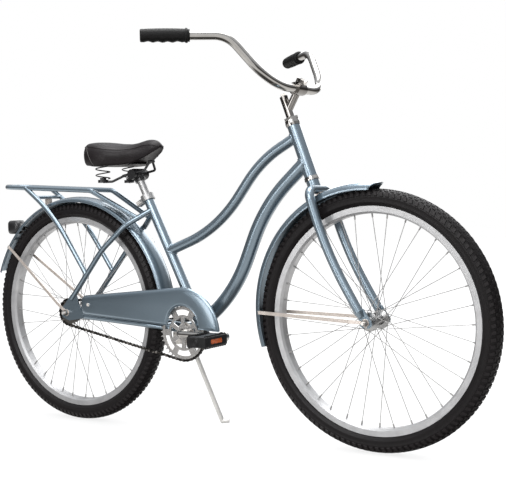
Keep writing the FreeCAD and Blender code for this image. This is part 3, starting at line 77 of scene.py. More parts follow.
class Recipe:
    """A principled material under construction, with noise in the object's own metres."""

    def __init__(self, name, metallic=0.0, coat=0.0, coat_roughness=0.08, ior=1.5, specular=0.5):
        self.material = bpy.data.materials.new(name)
        self.material.use_nodes = True
        self.nodes = self.material.node_tree.nodes
        self.links = self.material.node_tree.links
        self.shader = self.nodes["Principled BSDF"]
        self.shader.inputs["Metallic"].default_value = metallic
        self.shader.inputs["Coat Weight"].default_value = coat
        self.shader.inputs["Coat Roughness"].default_value = coat_roughness
        self.shader.inputs["IOR"].default_value = ior
        self.shader.inputs["Specular IOR Level"].default_value = specular
        self.coordinates = self.nodes.new("ShaderNodeTexCoord")

    def noise(self, scale, detail, stretch=(1, 1, 1)):
        """Cloudy values, finer with a larger scale."""
        mapping = self.nodes.new("ShaderNodeMapping")
        mapping.inputs["Scale"].default_value = stretch
        self.links.new(self.coordinates.outputs["Object"], mapping.inputs["Vector"])
        texture = self.nodes.new("ShaderNodeTexNoise")
        texture.inputs["Scale"].default_value = scale
        texture.inputs["Detail"].default_value = detail
        self.links.new(mapping.outputs["Vector"], texture.inputs["Vector"])
        return texture.outputs["Fac"]

    def cells(self, scale, feature="F1"):
        """Distances within small cells."""
        texture = self.nodes.new("ShaderNodeTexVoronoi")
        texture.feature = feature
        texture.inputs["Scale"].default_value = scale
        self.links.new(self.coordinates.outputs["Object"], texture.inputs["Vector"])
        return texture.outputs["Distance"]

    def span(self, source, low, high, from_low, from_high):
        """The source stretched from one range of values to another."""
        node = self.nodes.new("ShaderNodeMapRange")
        node.inputs["From Min"].default_value = from_low
        node.inputs["From Max"].default_value = from_high
        node.inputs["To Min"].default_value = low
        node.inputs["To Max"].default_value = high
        self.links.new(source, node.inputs["Value"])
        return node.outputs["Result"]

    def colour(self, source, stops):
        """Base colour that follows the source through a ramp of positions and tones."""
        node = self.nodes.new("ShaderNodeValToRGB")
        while len(node.color_ramp.elements) < len(stops):
            node.color_ramp.elements.new(0.5)
        for element, (position, tone) in zip(node.color_ramp.elements, stops):
            element.position = position
            element.color = (*tone, 1)
        self.links.new(source, node.inputs["Fac"])
        self.links.new(node.outputs["Color"], self.shader.inputs["Base Color"])

    def rough(self, source, low, high, from_low=NOISE_LOW):
        """Roughness that drifts between two values with a noise."""
        drift = self.span(source, low, high, from_low, NOISE_HIGH)
        self.links.new(drift, self.shader.inputs["Roughness"])

    def bump(self, source, depth, strength=1.0):
        """Relief of a depth in metres, on top of any that is there already."""
        node = self.nodes.new("ShaderNodeBump")
        node.inputs["Distance"].default_value = depth
        node.inputs["Strength"].default_value = strength
        self.links.new(source, node.inputs["Height"])
        normal = self.shader.inputs["Normal"]
        if normal.is_linked:
            self.links.new(normal.links[0].from_socket, node.inputs["Normal"])
        self.links.new(node.outputs["Normal"], normal)


def paint():
    """Slate enamel: fine metal flake under a clear coat."""
    recipe = Recipe("slate_enamel", metallic=0.85, coat=0.7, coat_roughness=0.06)
    flake = recipe.noise(scale=1100, detail=1)
    recipe.colour(flake, [(0.25, (0.150, 0.194, 0.230)), (0.75, (0.162, 0.210, 0.249))])
    recipe.rough(recipe.noise(scale=9, detail=2), 0.28, 0.32)
    return recipe.material


def chrome(name, tone):
    """Mirror plate with a faint haze."""
    recipe = Recipe(name, metallic=1.0)
    recipe.colour(recipe.noise(scale=60, detail=4), [(0.35, shade(tone, 0.88)), (0.65, tone)])
    recipe.rough(recipe.noise(scale=220, detail=5), 0.05, 0.13, from_low=0.35)
    recipe.bump(recipe.noise(scale=900, detail=2), depth=0.00001)
    return recipe.material


def steel(name, tone, low, high, brushed=(1, 14, 1), metallic=1.0):
    """Metal with a brushed grain that takes its roughness from low to high."""
    recipe = Recipe(name, metallic=metallic)
    grain = recipe.noise(scale=500, detail=5, stretch=brushed)
    recipe.colour(recipe.noise(scale=40, detail=5), [(0.3, shade(tone, 0.8)), (0.7, tone)])
    recipe.rough(grain, low, high)
    recipe.bump(grain, depth=0.000008)
    return recipe.material


def chain_steel():
    """Oiled chain: small cells, bright in their middles and black towards their edges."""
    recipe = Recipe("chain_steel", metallic=0.9)
    tones = [(0.1, (0.36, 0.34, 0.32)), (0.35, (0.09, 0.083, 0.077)), (0.6, (0.015, 0.014, 0.013))]
    recipe.colour(recipe.cells(scale=90), tones)
    recipe.rough(recipe.noise(scale=300, detail=4), 0.22, 0.45)
    return recipe.material


def rubber(name, tone, scale, depth, specular=0.24):
    """Dull rubber, paler where it is worn, with a fine grain."""
    recipe = Recipe(name, specular=specular)
    recipe.colour(recipe.noise(scale=120, detail=5), [(0.35, tone), (0.75, shade(tone, 1.7))])
    recipe.rough(recipe.noise(scale=300, detail=4), 0.38, 0.6)
    recipe.bump(recipe.noise(scale=scale, detail=3), depth)
    return recipe.material


def vinyl():
    """Saddle vinyl: a pebbled grain over slow unevenness."""
    recipe = Recipe("saddle_vinyl", specular=0.13)
    edges = recipe.cells(scale=900, feature="DISTANCE_TO_EDGE")
    pebbles = recipe.span(edges, 0, 1, from_low=0, from_high=0.12)
    tones = [(0.3, (0.0070, 0.0055, 0.0060)), (0.75, (0.0115, 0.0092, 0.0100))]
    recipe.colour(recipe.noise(scale=35, detail=5), tones)
    recipe.rough(recipe.noise(scale=60, detail=4), 0.32, 0.46)
    recipe.bump(pebbles, depth=0.00005, strength=0.5)
    recipe.bump(recipe.noise(scale=30, detail=3), depth=0.0003, strength=0.4)
    return recipe.material


def plastic():
    """Black moulded plastic."""
    recipe = Recipe("black_plastic", specular=0.2)
    tones = [(0.3, (0.004, 0.004, 0.0042)), (0.7, (0.008, 0.008, 0.0083))]
    recipe.colour(recipe.noise(scale=80, detail=4), tones)
    recipe.rough(recipe.noise(scale=240, detail=4), 0.36, 0.55)
    recipe.bump(recipe.noise(scale=1500, detail=2), depth=0.00005)
    return recipe.material


def lens(name, tone):
    """Reflector lens: small cells, with a painted highlight in their middles and painted shade darkening
    their edges.
    """
    recipe = Recipe(name, coat=0.7, ior=1.55)
    cells = recipe.cells(scale=330)
    # Cell middles lighter and cell edges darker: painted highlight and painted shade
    recipe.colour(cells, [(0.0, tone), (0.75, shade(tone, 0.45))])
    recipe.rough(recipe.noise(scale=200, detail=3), 0.1, 0.24)
    recipe.bump(cells, depth=0.0006)
    return recipe.material


def floor_card():
    """Pale floor that glows a little more with distance, so that it meets a white backdrop."""
    recipe = Recipe("pale_floor")
    recipe.shader.inputs["Roughness"].default_value = 0.75
    recipe.shader.inputs["Emission Color"].default_value = (1, 1, 1, 1)
    away = recipe.nodes.new("ShaderNodeVectorMath")
    away.operation = "LENGTH"
    recipe.links.new(recipe.coordinates.outputs["Object"], away.inputs[0])
    glow = recipe.span(away.outputs["Value"], 0.80, 0.97, from_low=1.0, from_high=4.0)
    recipe.links.new(glow, recipe.shader.inputs["Emission Strength"])
    tones = [(0.3, (0.10, 0.10, 0.10)), (0.7, (0.105, 0.105, 0.105))]
    recipe.colour(recipe.noise(scale=3, detail=3), tones)
    recipe.bump(recipe.noise(scale=200, detail=3), depth=0.0001)
    return recipe.material


ENAMEL = paint()
CHROME = chrome("chrome_plate", (0.37, 0.36, 0.345))
# The stem's chrome is a darker copy of the chrome plate: painted shade
SHADED_STEM_CHROME = chrome("shaded_stem_chrome", (0.20, 0.19, 0.18))
ZINC = steel("zinc_plate", (0.72, 0.69, 0.655), 0.22, 0.40, metallic=0.6)
DARK_STEEL = steel("oiled_steel", (0.21, 0.20, 0.19), 0.22, 0.36)
PALE_RIM = steel("pale_rim", (0.40, 0.40, 0.405), 0.28, 0.42, brushed=(1, 1, 1), metallic=0.55)
ALLOY = steel("satin_alloy", (0.36, 0.36, 0.36), 0.2, 0.36)
SPOKE_WIRE = steel("spoke_wire", (0.26, 0.255, 0.25), 0.3, 0.45, metallic=0.2)
STAND_PLATE = steel("stand_plate", (0.58, 0.57, 0.55), 0.25, 0.4, metallic=0.3)
STAY_PLATE = steel("stay_plate", (0.58, 0.52, 0.475), 0.25, 0.4, metallic=0.55)
BRIGHT_STEEL = steel("bright_steel", (0.60, 0.59, 0.58), 0.16, 0.28, metallic=0.85)
POST_STEEL = steel("post_steel", (0.34, 0.34, 0.34), 0.42, 0.52, brushed=(1, 1, 8))
SPRING_STEEL = steel("spring_steel", (0.06, 0.058, 0.056), 0.16, 0.28)
BLACK = steel("black_enamel", (0.012, 0.012, 0.013), 0.25, 0.4, metallic=0.2)
CHAIN_STEEL = chain_steel()
TYRE = rubber("tyre_rubber", (0.0030, 0.0023, 0.0025), scale=700, depth=0.00005, specular=0.17)
# A paler copy of the tyre rubber for the shoulder blocks: painted highlight on their lit faces
LIT_TREAD = rubber("lit_tread_rubber", (0.0075, 0.0063, 0.0066), scale=700, depth=0.00005, specular=0.16)
SOFT_RUBBER = rubber("soft_rubber", (0.0032, 0.0031, 0.0031), scale=1400, depth=0.00004, specular=0.13)
STITCH = rubber("stitched_thread", (0.05, 0.047, 0.046), scale=2000, depth=0.00003)
VINYL = vinyl()
PLASTIC = plastic()
AMBER = lens("amber_lens", (0.62, 0.11, 0.012))
RED = lens("red_lens", (0.30, 0.015, 0.015))

# Finishes by material slot, and the nodes that have one of their own
FINISHES = {
    "paint": ENAMEL, "black_paint": BLACK, "chrome": CHROME, "steel": ZINC, "dark_steel": DARK_STEEL,
    "rim": PALE_RIM, "alloy": ALLOY, "tyre": TYRE, "rubber": SOFT_RUBBER, "vinyl": VINYL,
    "plastic": PLASTIC, "amber": AMBER, "red": RED,
}
OWN_FINISH = {
    "front_spokes": SPOKE_WIRE, "rear_spokes": SPOKE_WIRE, "chainring": BRIGHT_STEEL, "chain": CHAIN_STEEL,
    "seat_clamp": POST_STEEL, "seat_post": POST_STEEL, "stem": SHADED_STEM_CHROME, "kickstand_leg": STAND_PLATE,
    "front_fender_stays": STAY_PLATE, "rear_fender_stays": STAY_PLATE,
}
for entry in frame["record"]["subparts"]:
    node = frame["nodes"][entry["node"]]
    node.data.materials.clear()
    node.data.materials.append(OWN_FINISH.get(entry["node"], FINISHES[entry["material_slot"]]))

# Stage, light and camera, in metres
FLOOR_REACH = 14
FLOOR_DROP = 0.0005
# Surround from straight down to straight up: dark below, a pale sweep, a dark horizon and a bright ceiling
SKY = [(0.01, (0.10, 0.095, 0.09)), (0.10, (0.20, 0.19, 0.18)), (0.19, (1.45, 1.44, 1.42)),
       (0.36, (1.15, 1.13, 1.11)), (0.45, (0.11, 0.102, 0.096)), (0.57, (0.095, 0.09, 0.086)),
       (0.70, (0.50, 0.51, 0.53)), (0.84, (1.00, 1.02, 1.05)), (0.98, (1.2, 1.22, 1.25))]
# Square lamps that face one point: name, place, watts and width
LAMPS = [("key", (0.5, -3.3, 2.7), 110, 2.2), ("front", (2.1, -2.9, 1.4), 20, 2.4),
         ("back", (-0.8, 3.2, 2.4), 80, 3.0), ("top", (0, 0, 4.2), 210, 3.0),
         ("left", (-1.05, -3.4, 0.75), 26, 1.2)]
LAMP_AIM = Vector((0, 0, 0.5))
CAMERA_PLACE = Vector((1.670394, -2.230517, 0.613176))
# Degrees about x, y and z
CAMERA_TURN = (88.3789, 2.1090, 34.3196)
CAMERA_LENS = 71.53
CAMERA_SENSOR = 36


def floor():
    """Floor card, just below the tyres, which reflections do not show."""
    mesh = bpy.data.meshes.new("floor")
    mesh.from_pydata([(u * FLOOR_REACH, v * FLOOR_REACH, 0) for u, v in CORNERS], [], [(0, 1, 2, 3)])
    mesh.materials.append(floor_card())
    card = bpy.data.objects.new("floor", mesh)
    card.location.z = -FLOOR_DROP
    card.visible_glossy = False
    bpy.context.scene.collection.objects.link(card)


def surround():
    """World that lights by direction and is plain white behind the object."""
    world = bpy.data.worlds.new("studio")
    bpy.context.scene.world = world
    world.use_nodes = True
    bpy.context.scene.view_settings.view_transform = "Standard"
    nodes = world.node_tree.nodes
    links = world.node_tree.links
    direction = nodes.new("ShaderNodeTexCoord")
    parts = nodes.new("ShaderNodeSeparateXYZ")
    lift = nodes.new("ShaderNodeMapRange")
    lift.inputs["From Min"].default_value = -1
    fade = nodes.new("ShaderNodeValToRGB")
    stops = fade.color_ramp.elements
    for position, tone in SKY:
        stops.new(position).color = (*tone, 1)
    stops.remove(stops[-1])
    stops.remove(stops[0])
    ray = nodes.new("ShaderNodeLightPath")
    backdrop = nodes.new("ShaderNodeMixRGB")
    backdrop.inputs["Color2"].default_value = (1, 1, 1, 1)
    links.new(direction.outputs["Generated"], parts.inputs["Vector"])
    links.new(parts.outputs["Z"], lift.inputs["Value"])
    links.new(lift.outputs["Result"], fade.inputs["Fac"])
    links.new(ray.outputs["Is Camera Ray"], backdrop.inputs["Fac"])
    links.new(fade.outputs["Color"], backdrop.inputs["Color1"])
    links.new(backdrop.outputs["Color"], nodes["Background"].inputs["Color"])


def lamps():
    """Area lamps round the object, all facing its middle."""
    for name, spot, watts, wide in LAMPS:
        lamp = bpy.data.lights.new(name, "AREA")
        lamp.energy = watts
        lamp.size = wide
        holder = bpy.data.objects.new(name, lamp)
        holder.location = spot
        holder.rotation_euler = (LAMP_AIM - Vector(spot)).to_track_quat("-Z", "Y").to_euler()
        bpy.context.scene.collection.objects.link(holder)


def camera():
    """The photograph's view, from ahead on the right."""
    data = bpy.data.cameras.new("camera")
    data.sensor_fit = "HORIZONTAL"
    data.sensor_width = CAMERA_SENSOR
    data.lens = CAMERA_LENS
    holder = bpy.data.objects.new("camera", data)
    turn = Euler([math.radians(degrees) for degrees in CAMERA_TURN])
    holder.matrix_world = Matrix.LocRotScale(CAMERA_PLACE, turn, None)
    bpy.context.scene.collection.objects.link(holder)
    bpy.context.scene.camera = holder


floor()
surround()
lamps()
camera()


# Tools for making pieces
def piece(name, vertices, faces, material, smooth=True):
    """A mesh in the scene, of one material."""
    mesh = bpy.data.meshes.new(name)
    mesh.from_pydata(vertices, [], faces)
    mesh.update()
    mesh.polygons.foreach_set("use_smooth", [smooth] * len(mesh.polygons))
    mesh.materials.append(material)
    thing = bpy.data.objects.new(name, mesh)
    bpy.context.scene.collection.objects.link(thing)
    return thing


def bands(rings, count, first=0, closed=False):
    """Faces that join each ring of points to the next, and the last to the first where closed."""
    faces = []
    for level in range(rings if closed else rings - 1):
        here = first + level * count
        after = first + (level + 1) % rings * count
        for index in range(count):
            other = (index + 1) % count
            faces.append((here + index, here + other, after + other, after + index))
    return faces


def circle(count):
    """Angles spaced evenly round a full turn."""
    return [2 * math.pi * step / count for step in range(count)]


def outward(degrees):
    """Direction from an axle, at an angle up from straight ahead."""
    turn = math.radians(degrees)
    return Vector((math.cos(turn), 0, math.sin(turn)))


def around(centre, radius, degrees, y):
    """A point at a radius and an angle about an axle, and to its left."""
    return centre + outward(degrees) * (radius / 1000) + SIDEWAYS * (y / 1000)


def wire(name, paths, radius, material, body, closed=False, ripple=0.0):
    """Round beads along paths, as one curve."""
    curve = bpy.data.curves.new(name, "CURVE")
    curve.dimensions = "3D"
    curve.bevel_depth = radius / 1000
    curve.bevel_resolution = 3
    curve.use_fill_caps = True
    for points in paths:
        spline = curve.splines.new("POLY")
        spline.points.add(len(points) - 1)
        spline.use_cyclic_u = closed
        for index, (point, spot) in enumerate(zip(spline.points, points)):
            point.co = (*spot, 1)
            point.radius = 1 + ripple * (index % 2)
    curve.materials.append(material)
    thing = bpy.data.objects.new(name, curve)
    bpy.context.scene.collection.objects.link(thing)
    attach(thing, body)


def lathe(name, outline, sides, base, out, across, material, body):
    """A turned piece: radius and reach in millimetres, along a direction from a base point."""
    along = across.cross(out)
    vertices = []
    for radius, reach in outline:
        for turn in circle(sides):
            spot = out * reach + across * (radius * math.cos(turn)) + along * (radius * math.sin(turn))
            vertices.append(base + spot / 1000)
    thing = piece(name, vertices, bands(len(outline), sides), material)
    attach(thing, body)


# Top and sides of a block that is open at its foot, from the corners of its foot and then of its top
BLOCK_FACES = ((4, 5, 6, 7), (0, 1, 5, 4), (1, 2, 6, 5), (2, 3, 7, 6), (3, 0, 4, 7))


def add_block(vertices, faces, corners):
    """Add a block to a mesh that is being made."""
    first = len(vertices)
    vertices += corners
    faces += [tuple(first + corner for corner in face) for face in BLOCK_FACES]


# Tyres. Section from the bead over the crown: radius and half width
TYRE_WALL = [(287.4, 17.5), (289.5, 20.6), (292.5, 23.4), (294.6, 24.9), (295.8, 26.2), (297.6, 26.5),
             (299.0, 26.0), (303.0, 26.5), (307.0, 26.4), (308.2, 27.0), (310.2, 26.9), (311.4, 25.9),
             (315.0, 24.6), (319.0, 22.6), (322.6, 19.4), (325.4, 14.0), (327.2, 7.0), (327.6, 0)]
TYRE_LINING = [(287.4, 13.8), (295, 20), (303, 22.8), (312, 21), (319, 16), (324.0, 8), (325.0, 0)]
TYRE_STEPS = 176
# Rows of tread blocks, the shoulder row first: lean in radians, and the shift along the tread in blocks
TreadRow = namedtuple("TreadRow", "radius half lean long wide high shift")
TREAD_ROWS = [TreadRow(316.6, 23.6, 1.12, 10.5, 13.0, 3.6, 0.0),
              TreadRow(324.6, 15.2, 0.42, 11.0, 9.0, 3.2, 0.5),
              TreadRow(327.4, 5.2, 0.12, 11.0, 9.0, 3.0, 0.0)]
TREAD_COUNT = 122
TREAD_STAGGER = 0.25
BLOCK_ROOT = 1.2
BLOCK_TAPER = 0.78
BLOCK_SKEW = 1.6
# Valve stem with its cap: radius and distance from the axle
VALVE = [(0, 270), (4.6, 269.5), (4.2, 266), (3.2, 264), (3.0, 250), (2.6, 248), (3.0, 247), (3.0, 238),
         (0, 237)]
VALVE_SIDES = 16


def tread_block(centre, degrees, row, sign):
    """Corners of a tapered block standing on the tyre, skewed a little along the tread."""
    out = outward(degrees)
    along = SIDEWAYS.cross(out)
    up = (out * math.cos(sign * row.lean) + SIDEWAYS * math.sin(sign * row.lean)).normalized()
    across = up.cross(along).normalized()
    foot = around(centre, row.radius, degrees, sign * row.half)
    corners = []
    for level, shrink in ((-BLOCK_ROOT, 1.0), (row.high - BLOCK_ROOT, BLOCK_TAPER)):
        for u, v in CORNERS:
            spot = along * (u * row.long / 2 * shrink + v * sign * BLOCK_SKEW)
            spot += across * (v * row.wide / 2 * shrink)
            spot += up * level
            corners.append(foot + spot / 1000)
    return corners


def tyre(name, centre, node, body):
    """Moulded tyre: sidewall rings and rows of tread blocks, the shoulder row in a paler rubber as a
    painted highlight.
    """
    outside = TYRE_WALL + [(radius, -half) for radius, half in reversed(TYRE_WALL[:-1])]
    inside = TYRE_LINING + [(radius, -half) for radius, half in reversed(TYRE_LINING[:-1])]
    section = outside + list(reversed(inside))
    vertices = []
    for step in range(TYRE_STEPS):
        vertices += [around(centre, radius, 360 * step / TYRE_STEPS, half) for radius, half in section]
    faces = bands(TYRE_STEPS, len(section), closed=True)
    wall_end = len(faces)
    for row in TREAD_ROWS:
        for sign in (-1, 1):
            shift = row.shift + (TREAD_STAGGER if sign > 0 else 0)
            for step in range(TREAD_COUNT):
                degrees = 360 * (step + shift) / TREAD_COUNT
                add_block(vertices, faces, tread_block(centre, degrees, row, sign))
    cover = piece(name, vertices, faces, TYRE)
    cover.data.materials.append(LIT_TREAD)
    shoulder_end = wall_end + 2 * TREAD_COUNT * len(BLOCK_FACES)
    # The shoulder row takes the paler rubber as a painted highlight; the other blocks keep the tyre rubber
    for polygon in cover.data.polygons[wall_end:]:
        polygon.use_smooth = False
        polygon.material_index = 1 if polygon.index < shoulder_end else 0
    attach(cover, body)
    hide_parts(node)


def valve(name, centre, degrees, body):
    """Rubber valve stem with its cap, standing inward from the rim."""
    lathe(name, VALVE, VALVE_SIDES, centre, outward(degrees), SIDEWAYS, SOFT_RUBBER, body)


# Saddle. Sections from tail to nose: half widths at the side and shoulder, and three heights
Section = namedtuple("Section", "x half shoulder low side crown")
SADDLE = [Section(96, 42, 31, 774, 806, 817), Section(106, 70, 55, 766, 823, 831),
          Section(129, 91, 75, 760, 829, 835), Section(164, 98, 80, 757, 824, 830),
          Section(202, 92, 72, 757, 815, 823), Section(238, 72, 52, 757, 811, 821),
          Section(270, 50, 36, 762, 813, 825), Section(303, 34, 24, 776, 820, 832),
          Section(329, 25, 18, 790, 817, 828), Section(345, 12, 8, 800, 808, 814)]
SADDLE_STATIONS = 46
# Right half of a section. Underside: share of the foot's half width, and height above the low edge
FOOT_SHARE = 0.88
UNDERSIDE = [(0, 6), (0.5, 6), (0.9, 4), (1, 0), (1.03, 1)]
# Flank: share of the half width, and of the side's height
FLANK = [(0.975, 0.22), (1, 0.45), (0.985, 0.68)]
# Turn onto the top: midway between half width and shoulder at this level, then just below the shoulder
TURN_LEVEL = 0.89
SHOULDER_OUT, SHOULDER_DROP = 1.01, 0.4
# Top: share of the shoulder's half width, and of the rise to the crown
TOP = [(0.82, 0.36), (0.5, 0.78)]
# Rings that round off the tail and the nose: how far past the end, and scale
TAIL_RINGS = ((0.6, 0.45), (0.4, 0.85))
NOSE_RINGS = ((0.8, 0.8), (1.2, 0.4))
# The cover is cut small and pressed out as cloth
COVER_CUT = 0.97
COVER_MESH = 4
COVER_HELD_BELOW = -0.45
STUFFING_STEPS = 20
STUFFING_CAP = 3.5
STUFFING_PRESSURE = 4
CLOTH_STRETCH = 60
CLOTH_BENDING = 40
TAUT_FACTOR = 0.5
TAUT_PASSES = 14
# The welt runs along the shoulders at a share of the side's height, and round the tail
WELT_RADIUS = 1.1
WELT_LEVEL = 0.865
WELT_HALF, WELT_SHOULDER = 0.42, 0.575
TAIL_WELT_BACK, TAIL_WELT_HEIGHT = 1.2, 811.5
TAIL_WELT = (30, 15, 0, -15, -30)
# A panel seam runs down each side from a place on the list of sections
PANEL_RADIUS = 0.9
PANEL_STEPS = 8
PANEL_START, PANEL_TOP, PANEL_RUN = 2.15, 0.86, 0.8
SIDE_BULGE, BULGE_LEVEL = 0.55, 0.45
PANEL_SINK = 0.4
SEAM_LIFT = 0.4


def between(sections, spot):
    """A smooth section at a fractional index of the list."""
    index = min(int(spot), len(sections) - 2)
    t = spot - index
    before, here = sections[max(index - 1, 0)], sections[index]
    after, beyond = sections[index + 1], sections[min(index + 2, len(sections) - 1)]
    values = []
    for a, b, c, d in zip(before, here, after, beyond):
        square = (2 * a - 5 * b + 4 * c - d) * t ** 2
        cube = (3 * b - a - 3 * c + d) * t ** 3
        values.append(0.5 * (2 * b + (c - a) * t + square + cube))
    return Section(*values)


def side_height(section, level):
    """Height at a share of the way up a section's side."""
    return section.low + (section.side - section.low) * level


def saddle_ring(section, scale):
    """Points round one section: flat underside, bulging sides and a crowned top."""
    x, half, shoulder, low, side, crown = section
    foot = half * FOOT_SHARE
    right = [(foot * share, low + height) for share, height in UNDERSIDE]
    right += [(half * share, side_height(section, level)) for share, level in FLANK]
    right.append((half * 0.5 + shoulder * 0.5, side_height(section, TURN_LEVEL)))
    right.append((shoulder * SHOULDER_OUT, side - SHOULDER_DROP))
    right += [(shoulder * share, side + (crown - side) * level) for share, level in TOP]
    right.append((0, crown))
    points = right + [(-y, z) for y, z in reversed(right[1:-1])]
    middle = (low + crown) / 2
    return [place(x, -y * scale, middle + (z - middle) * scale) for y, z in points]


def stuffed(cover):
    """Press the cover out from inside as cloth, its underside held, and keep the result as its mesh."""
    even = cover.modifiers.new("even", "REMESH")
    even.mode = "VOXEL"
    even.voxel_size = COVER_MESH / 1000
    even.use_smooth_shade = True
    view = bpy.context.view_layer
    view.update()
    cut = bpy.data.meshes.new_from_object(cover.evaluated_get(view.depsgraph))
    cover.modifiers.clear()
    cover.data = cut
    held = cover.vertex_groups.new(name="held")
    underside = [vertex.index for vertex in cut.vertices if vertex.normal.z < COVER_HELD_BELOW]
    held.add(underside, 1.0, "REPLACE")
    cloth = cover.modifiers.new("stuffing", "CLOTH").settings
    cloth.use_pressure = True
    cloth.uniform_pressure_force = STUFFING_PRESSURE
    cloth.effector_weights.gravity = 0
    cloth.vertex_group_mass = "held"
    cloth.tension_stiffness = CLOTH_STRETCH
    cloth.compression_stiffness = CLOTH_STRETCH
    cloth.bending_stiffness = CLOTH_BENDING
    for step in range(1, STUFFING_STEPS + 1):
        bpy.context.scene.frame_set(step)
    full = bpy.data.meshes.new_from_object(cover.evaluated_get(view.depsgraph))
    cap = STUFFING_CAP / 1000
    for after, before in zip(full.vertices, cut.vertices):
        move = after.co - before.co
        if move.length > cap:
            after.co = before.co + move * (cap / move.length)
    cover.modifiers.clear()
    cover.data = full
    bpy.context.scene.frame_set(1)
    taut = cover.modifiers.new("taut", "SMOOTH")
    taut.factor = TAUT_FACTOR
    taut.iterations = TAUT_PASSES
    view.update()


def saddle_cover(sections):
    """The stuffed cover over the whole saddle."""
    tail, nose = sections[0], sections[-1]
    rings = [saddle_ring(tail._replace(x=tail.x - past), scale) for past, scale in TAIL_RINGS]
    rings += [saddle_ring(section, COVER_CUT) for section in sections]
    rings += [saddle_ring(nose._replace(x=nose.x + past), scale) for past, scale in NOSE_RINGS]
    count = len(rings[0])
    vertices = [point for ring in rings for point in ring]
    faces = bands(len(rings), count)
    faces.append(tuple(reversed(range(count))))
    faces.append(tuple(range(len(vertices) - count, len(vertices))))
    cover = piece("saddle_cushion", vertices, faces, VINYL)
    stuffed(cover)
    smooth = cover.modifiers.new("smooth", "SUBSURF")
    smooth.levels = 1
    smooth.render_levels = 1
    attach(cover, "saddle_top")
    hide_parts("saddle_cover")
    return cover


def on_cover(cover, path):
    """A seam's points laid on the cover's surface."""
    spots = []
    for point in path:
        spot, normal = cover.closest_point_on_mesh(point)[1:3]
        spots.append(spot + normal * (SEAM_LIFT / 1000))
    return spots


def saddle_seams(cover, sections):
    """The welt round the top panel, and a stitched seam down each side."""
    welts, panels = [], []
    for sign in (1, -1):
        welt, panel = [], []
        for section in sections[1:-1]:
            half = section.half * WELT_HALF + section.shoulder * WELT_SHOULDER
            welt.append(place(section.x, -sign * half, side_height(section, WELT_LEVEL)))
        for step in range(PANEL_STEPS + 1):
            run = PANEL_RUN * step / PANEL_STEPS
            section = between(SADDLE, PANEL_START + run)
            level = PANEL_TOP - run
            half = section.half * (1 - SIDE_BULGE * (level - BULGE_LEVEL) ** 2) - PANEL_SINK
            panel.append(place(section.x, -sign * half, side_height(section, level)))
        welts.append(welt)
        panels.append(panel)
    tail_x = sections[1].x - TAIL_WELT_BACK
    tail = [place(tail_x, y, TAIL_WELT_HEIGHT) for y in TAIL_WELT]
    welts.append([welts[1][0], *tail, welts[0][0]])
    welts = [on_cover(cover, path) for path in welts]
    panels = [on_cover(cover, path) for path in panels]
    wire("saddle_welt", welts, WELT_RADIUS, VINYL, "saddle_top")
    wire("saddle_panel_seams", panels, PANEL_RADIUS, STITCH, "saddle_top")


def saddle():
    """The cover and its seams."""
    last = len(SADDLE) - 1
    sections = [between(SADDLE, index * last / (SADDLE_STATIONS - 1)) for index in range(SADDLE_STATIONS)]
    cover = saddle_cover(sections)
    saddle_seams(cover, sections)


# Saddle springs
SPRING_X, SPRING_Y = 168, 57
SPRING_LOW, SPRING_HIGH = 721.4, 761.6
SPRING_RADIUS, SPRING_WIRE, SPRING_TURNS = 20, 1.8, 2
SPRING_TIP = 0.55
COIL_STEPS, COIL_SIDES = 48, 12


def springs():
    """Both saddle springs, as one mesh on the saddle carrier."""
    low, high = SPRING_LOW + SPRING_WIRE, SPRING_HIGH - SPRING_WIRE
    steps = COIL_STEPS * SPRING_TURNS
    rise = (high - low) / (2 * math.pi * SPRING_TURNS * SPRING_RADIUS)
    vertices, faces = [], []
    for sign in (-1, 1):
        first = len(vertices)
        for step in range(steps + 1):
            turn = 2 * math.pi * SPRING_TURNS * step / steps
            out = Vector((math.cos(turn), math.sin(turn), 0))
            along = Vector((-out.y, out.x, rise)).normalized()
            over = along.cross(out)
            middle = place(SPRING_X, sign * SPRING_Y, low + (high - low) * step / steps)
            thick = SPRING_WIRE * (SPRING_TIP if step in (0, steps) else 1)
            for angle in circle(COIL_SIDES):
                skin = (out * math.cos(angle) + over * math.sin(angle)) * thick
                vertices.append(middle + (out * SPRING_RADIUS + skin) / 1000)
        faces += bands(steps + 1, COIL_SIDES, first)
        faces.append(tuple(reversed(range(first, first + COIL_SIDES))))
        faces.append(tuple(range(len(vertices) - COIL_SIDES, len(vertices))))
    coils = piece("saddle_coils", vertices, faces, SPRING_STEEL)
    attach(coils, "saddle_carrier")
    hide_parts("saddle_springs")
    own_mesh(coils)


# Grips, along the bar from its end
BAR_CROOK = place(729, -197, 1050)
BAR_END = place(568, -335, 1053)
GRIP_LENGTH = 119
GRIP_STEPS, GRIP_SIDES = 150, 48
GRIP_RADIUS, GRIP_SWELL = 16, 1.4
# Every third step is a groove between fine rings
RING_HEIGHT, GROOVE_DEPTH = 0.2, 0.25
# Rounded outer end: distance along the bar and radius
GRIP_CAP = [(-3, 0), (-3, 10), (-2.6, 14.2), (-1, 15.8)]
FLANGE_START, FLANGE_END = GRIP_LENGTH - 11, GRIP_LENGTH - 5
FLANGE_RADIUS, COLLAR_RADIUS, BAR_RADIUS = 18.3, 15.5, 11.2
SCALLOP_START, SCALLOP_END = 4, GRIP_LENGTH - 13
SCALLOP_PITCH, SCALLOP_DEPTH, SCALLOP_CREST = 24, 2.7, 5


def grip_radius(step):
    """Radius at a step along the grip, before the scallops."""
    t = GRIP_LENGTH * step / GRIP_STEPS
    if t >= FLANGE_END:
        return COLLAR_RADIUS
    if t > FLANGE_START:
        return FLANGE_RADIUS
    ring = RING_HEIGHT if step % 3 else -GROOVE_DEPTH
    return GRIP_RADIUS + GRIP_SWELL * math.sin(math.pi * step / GRIP_STEPS) + ring


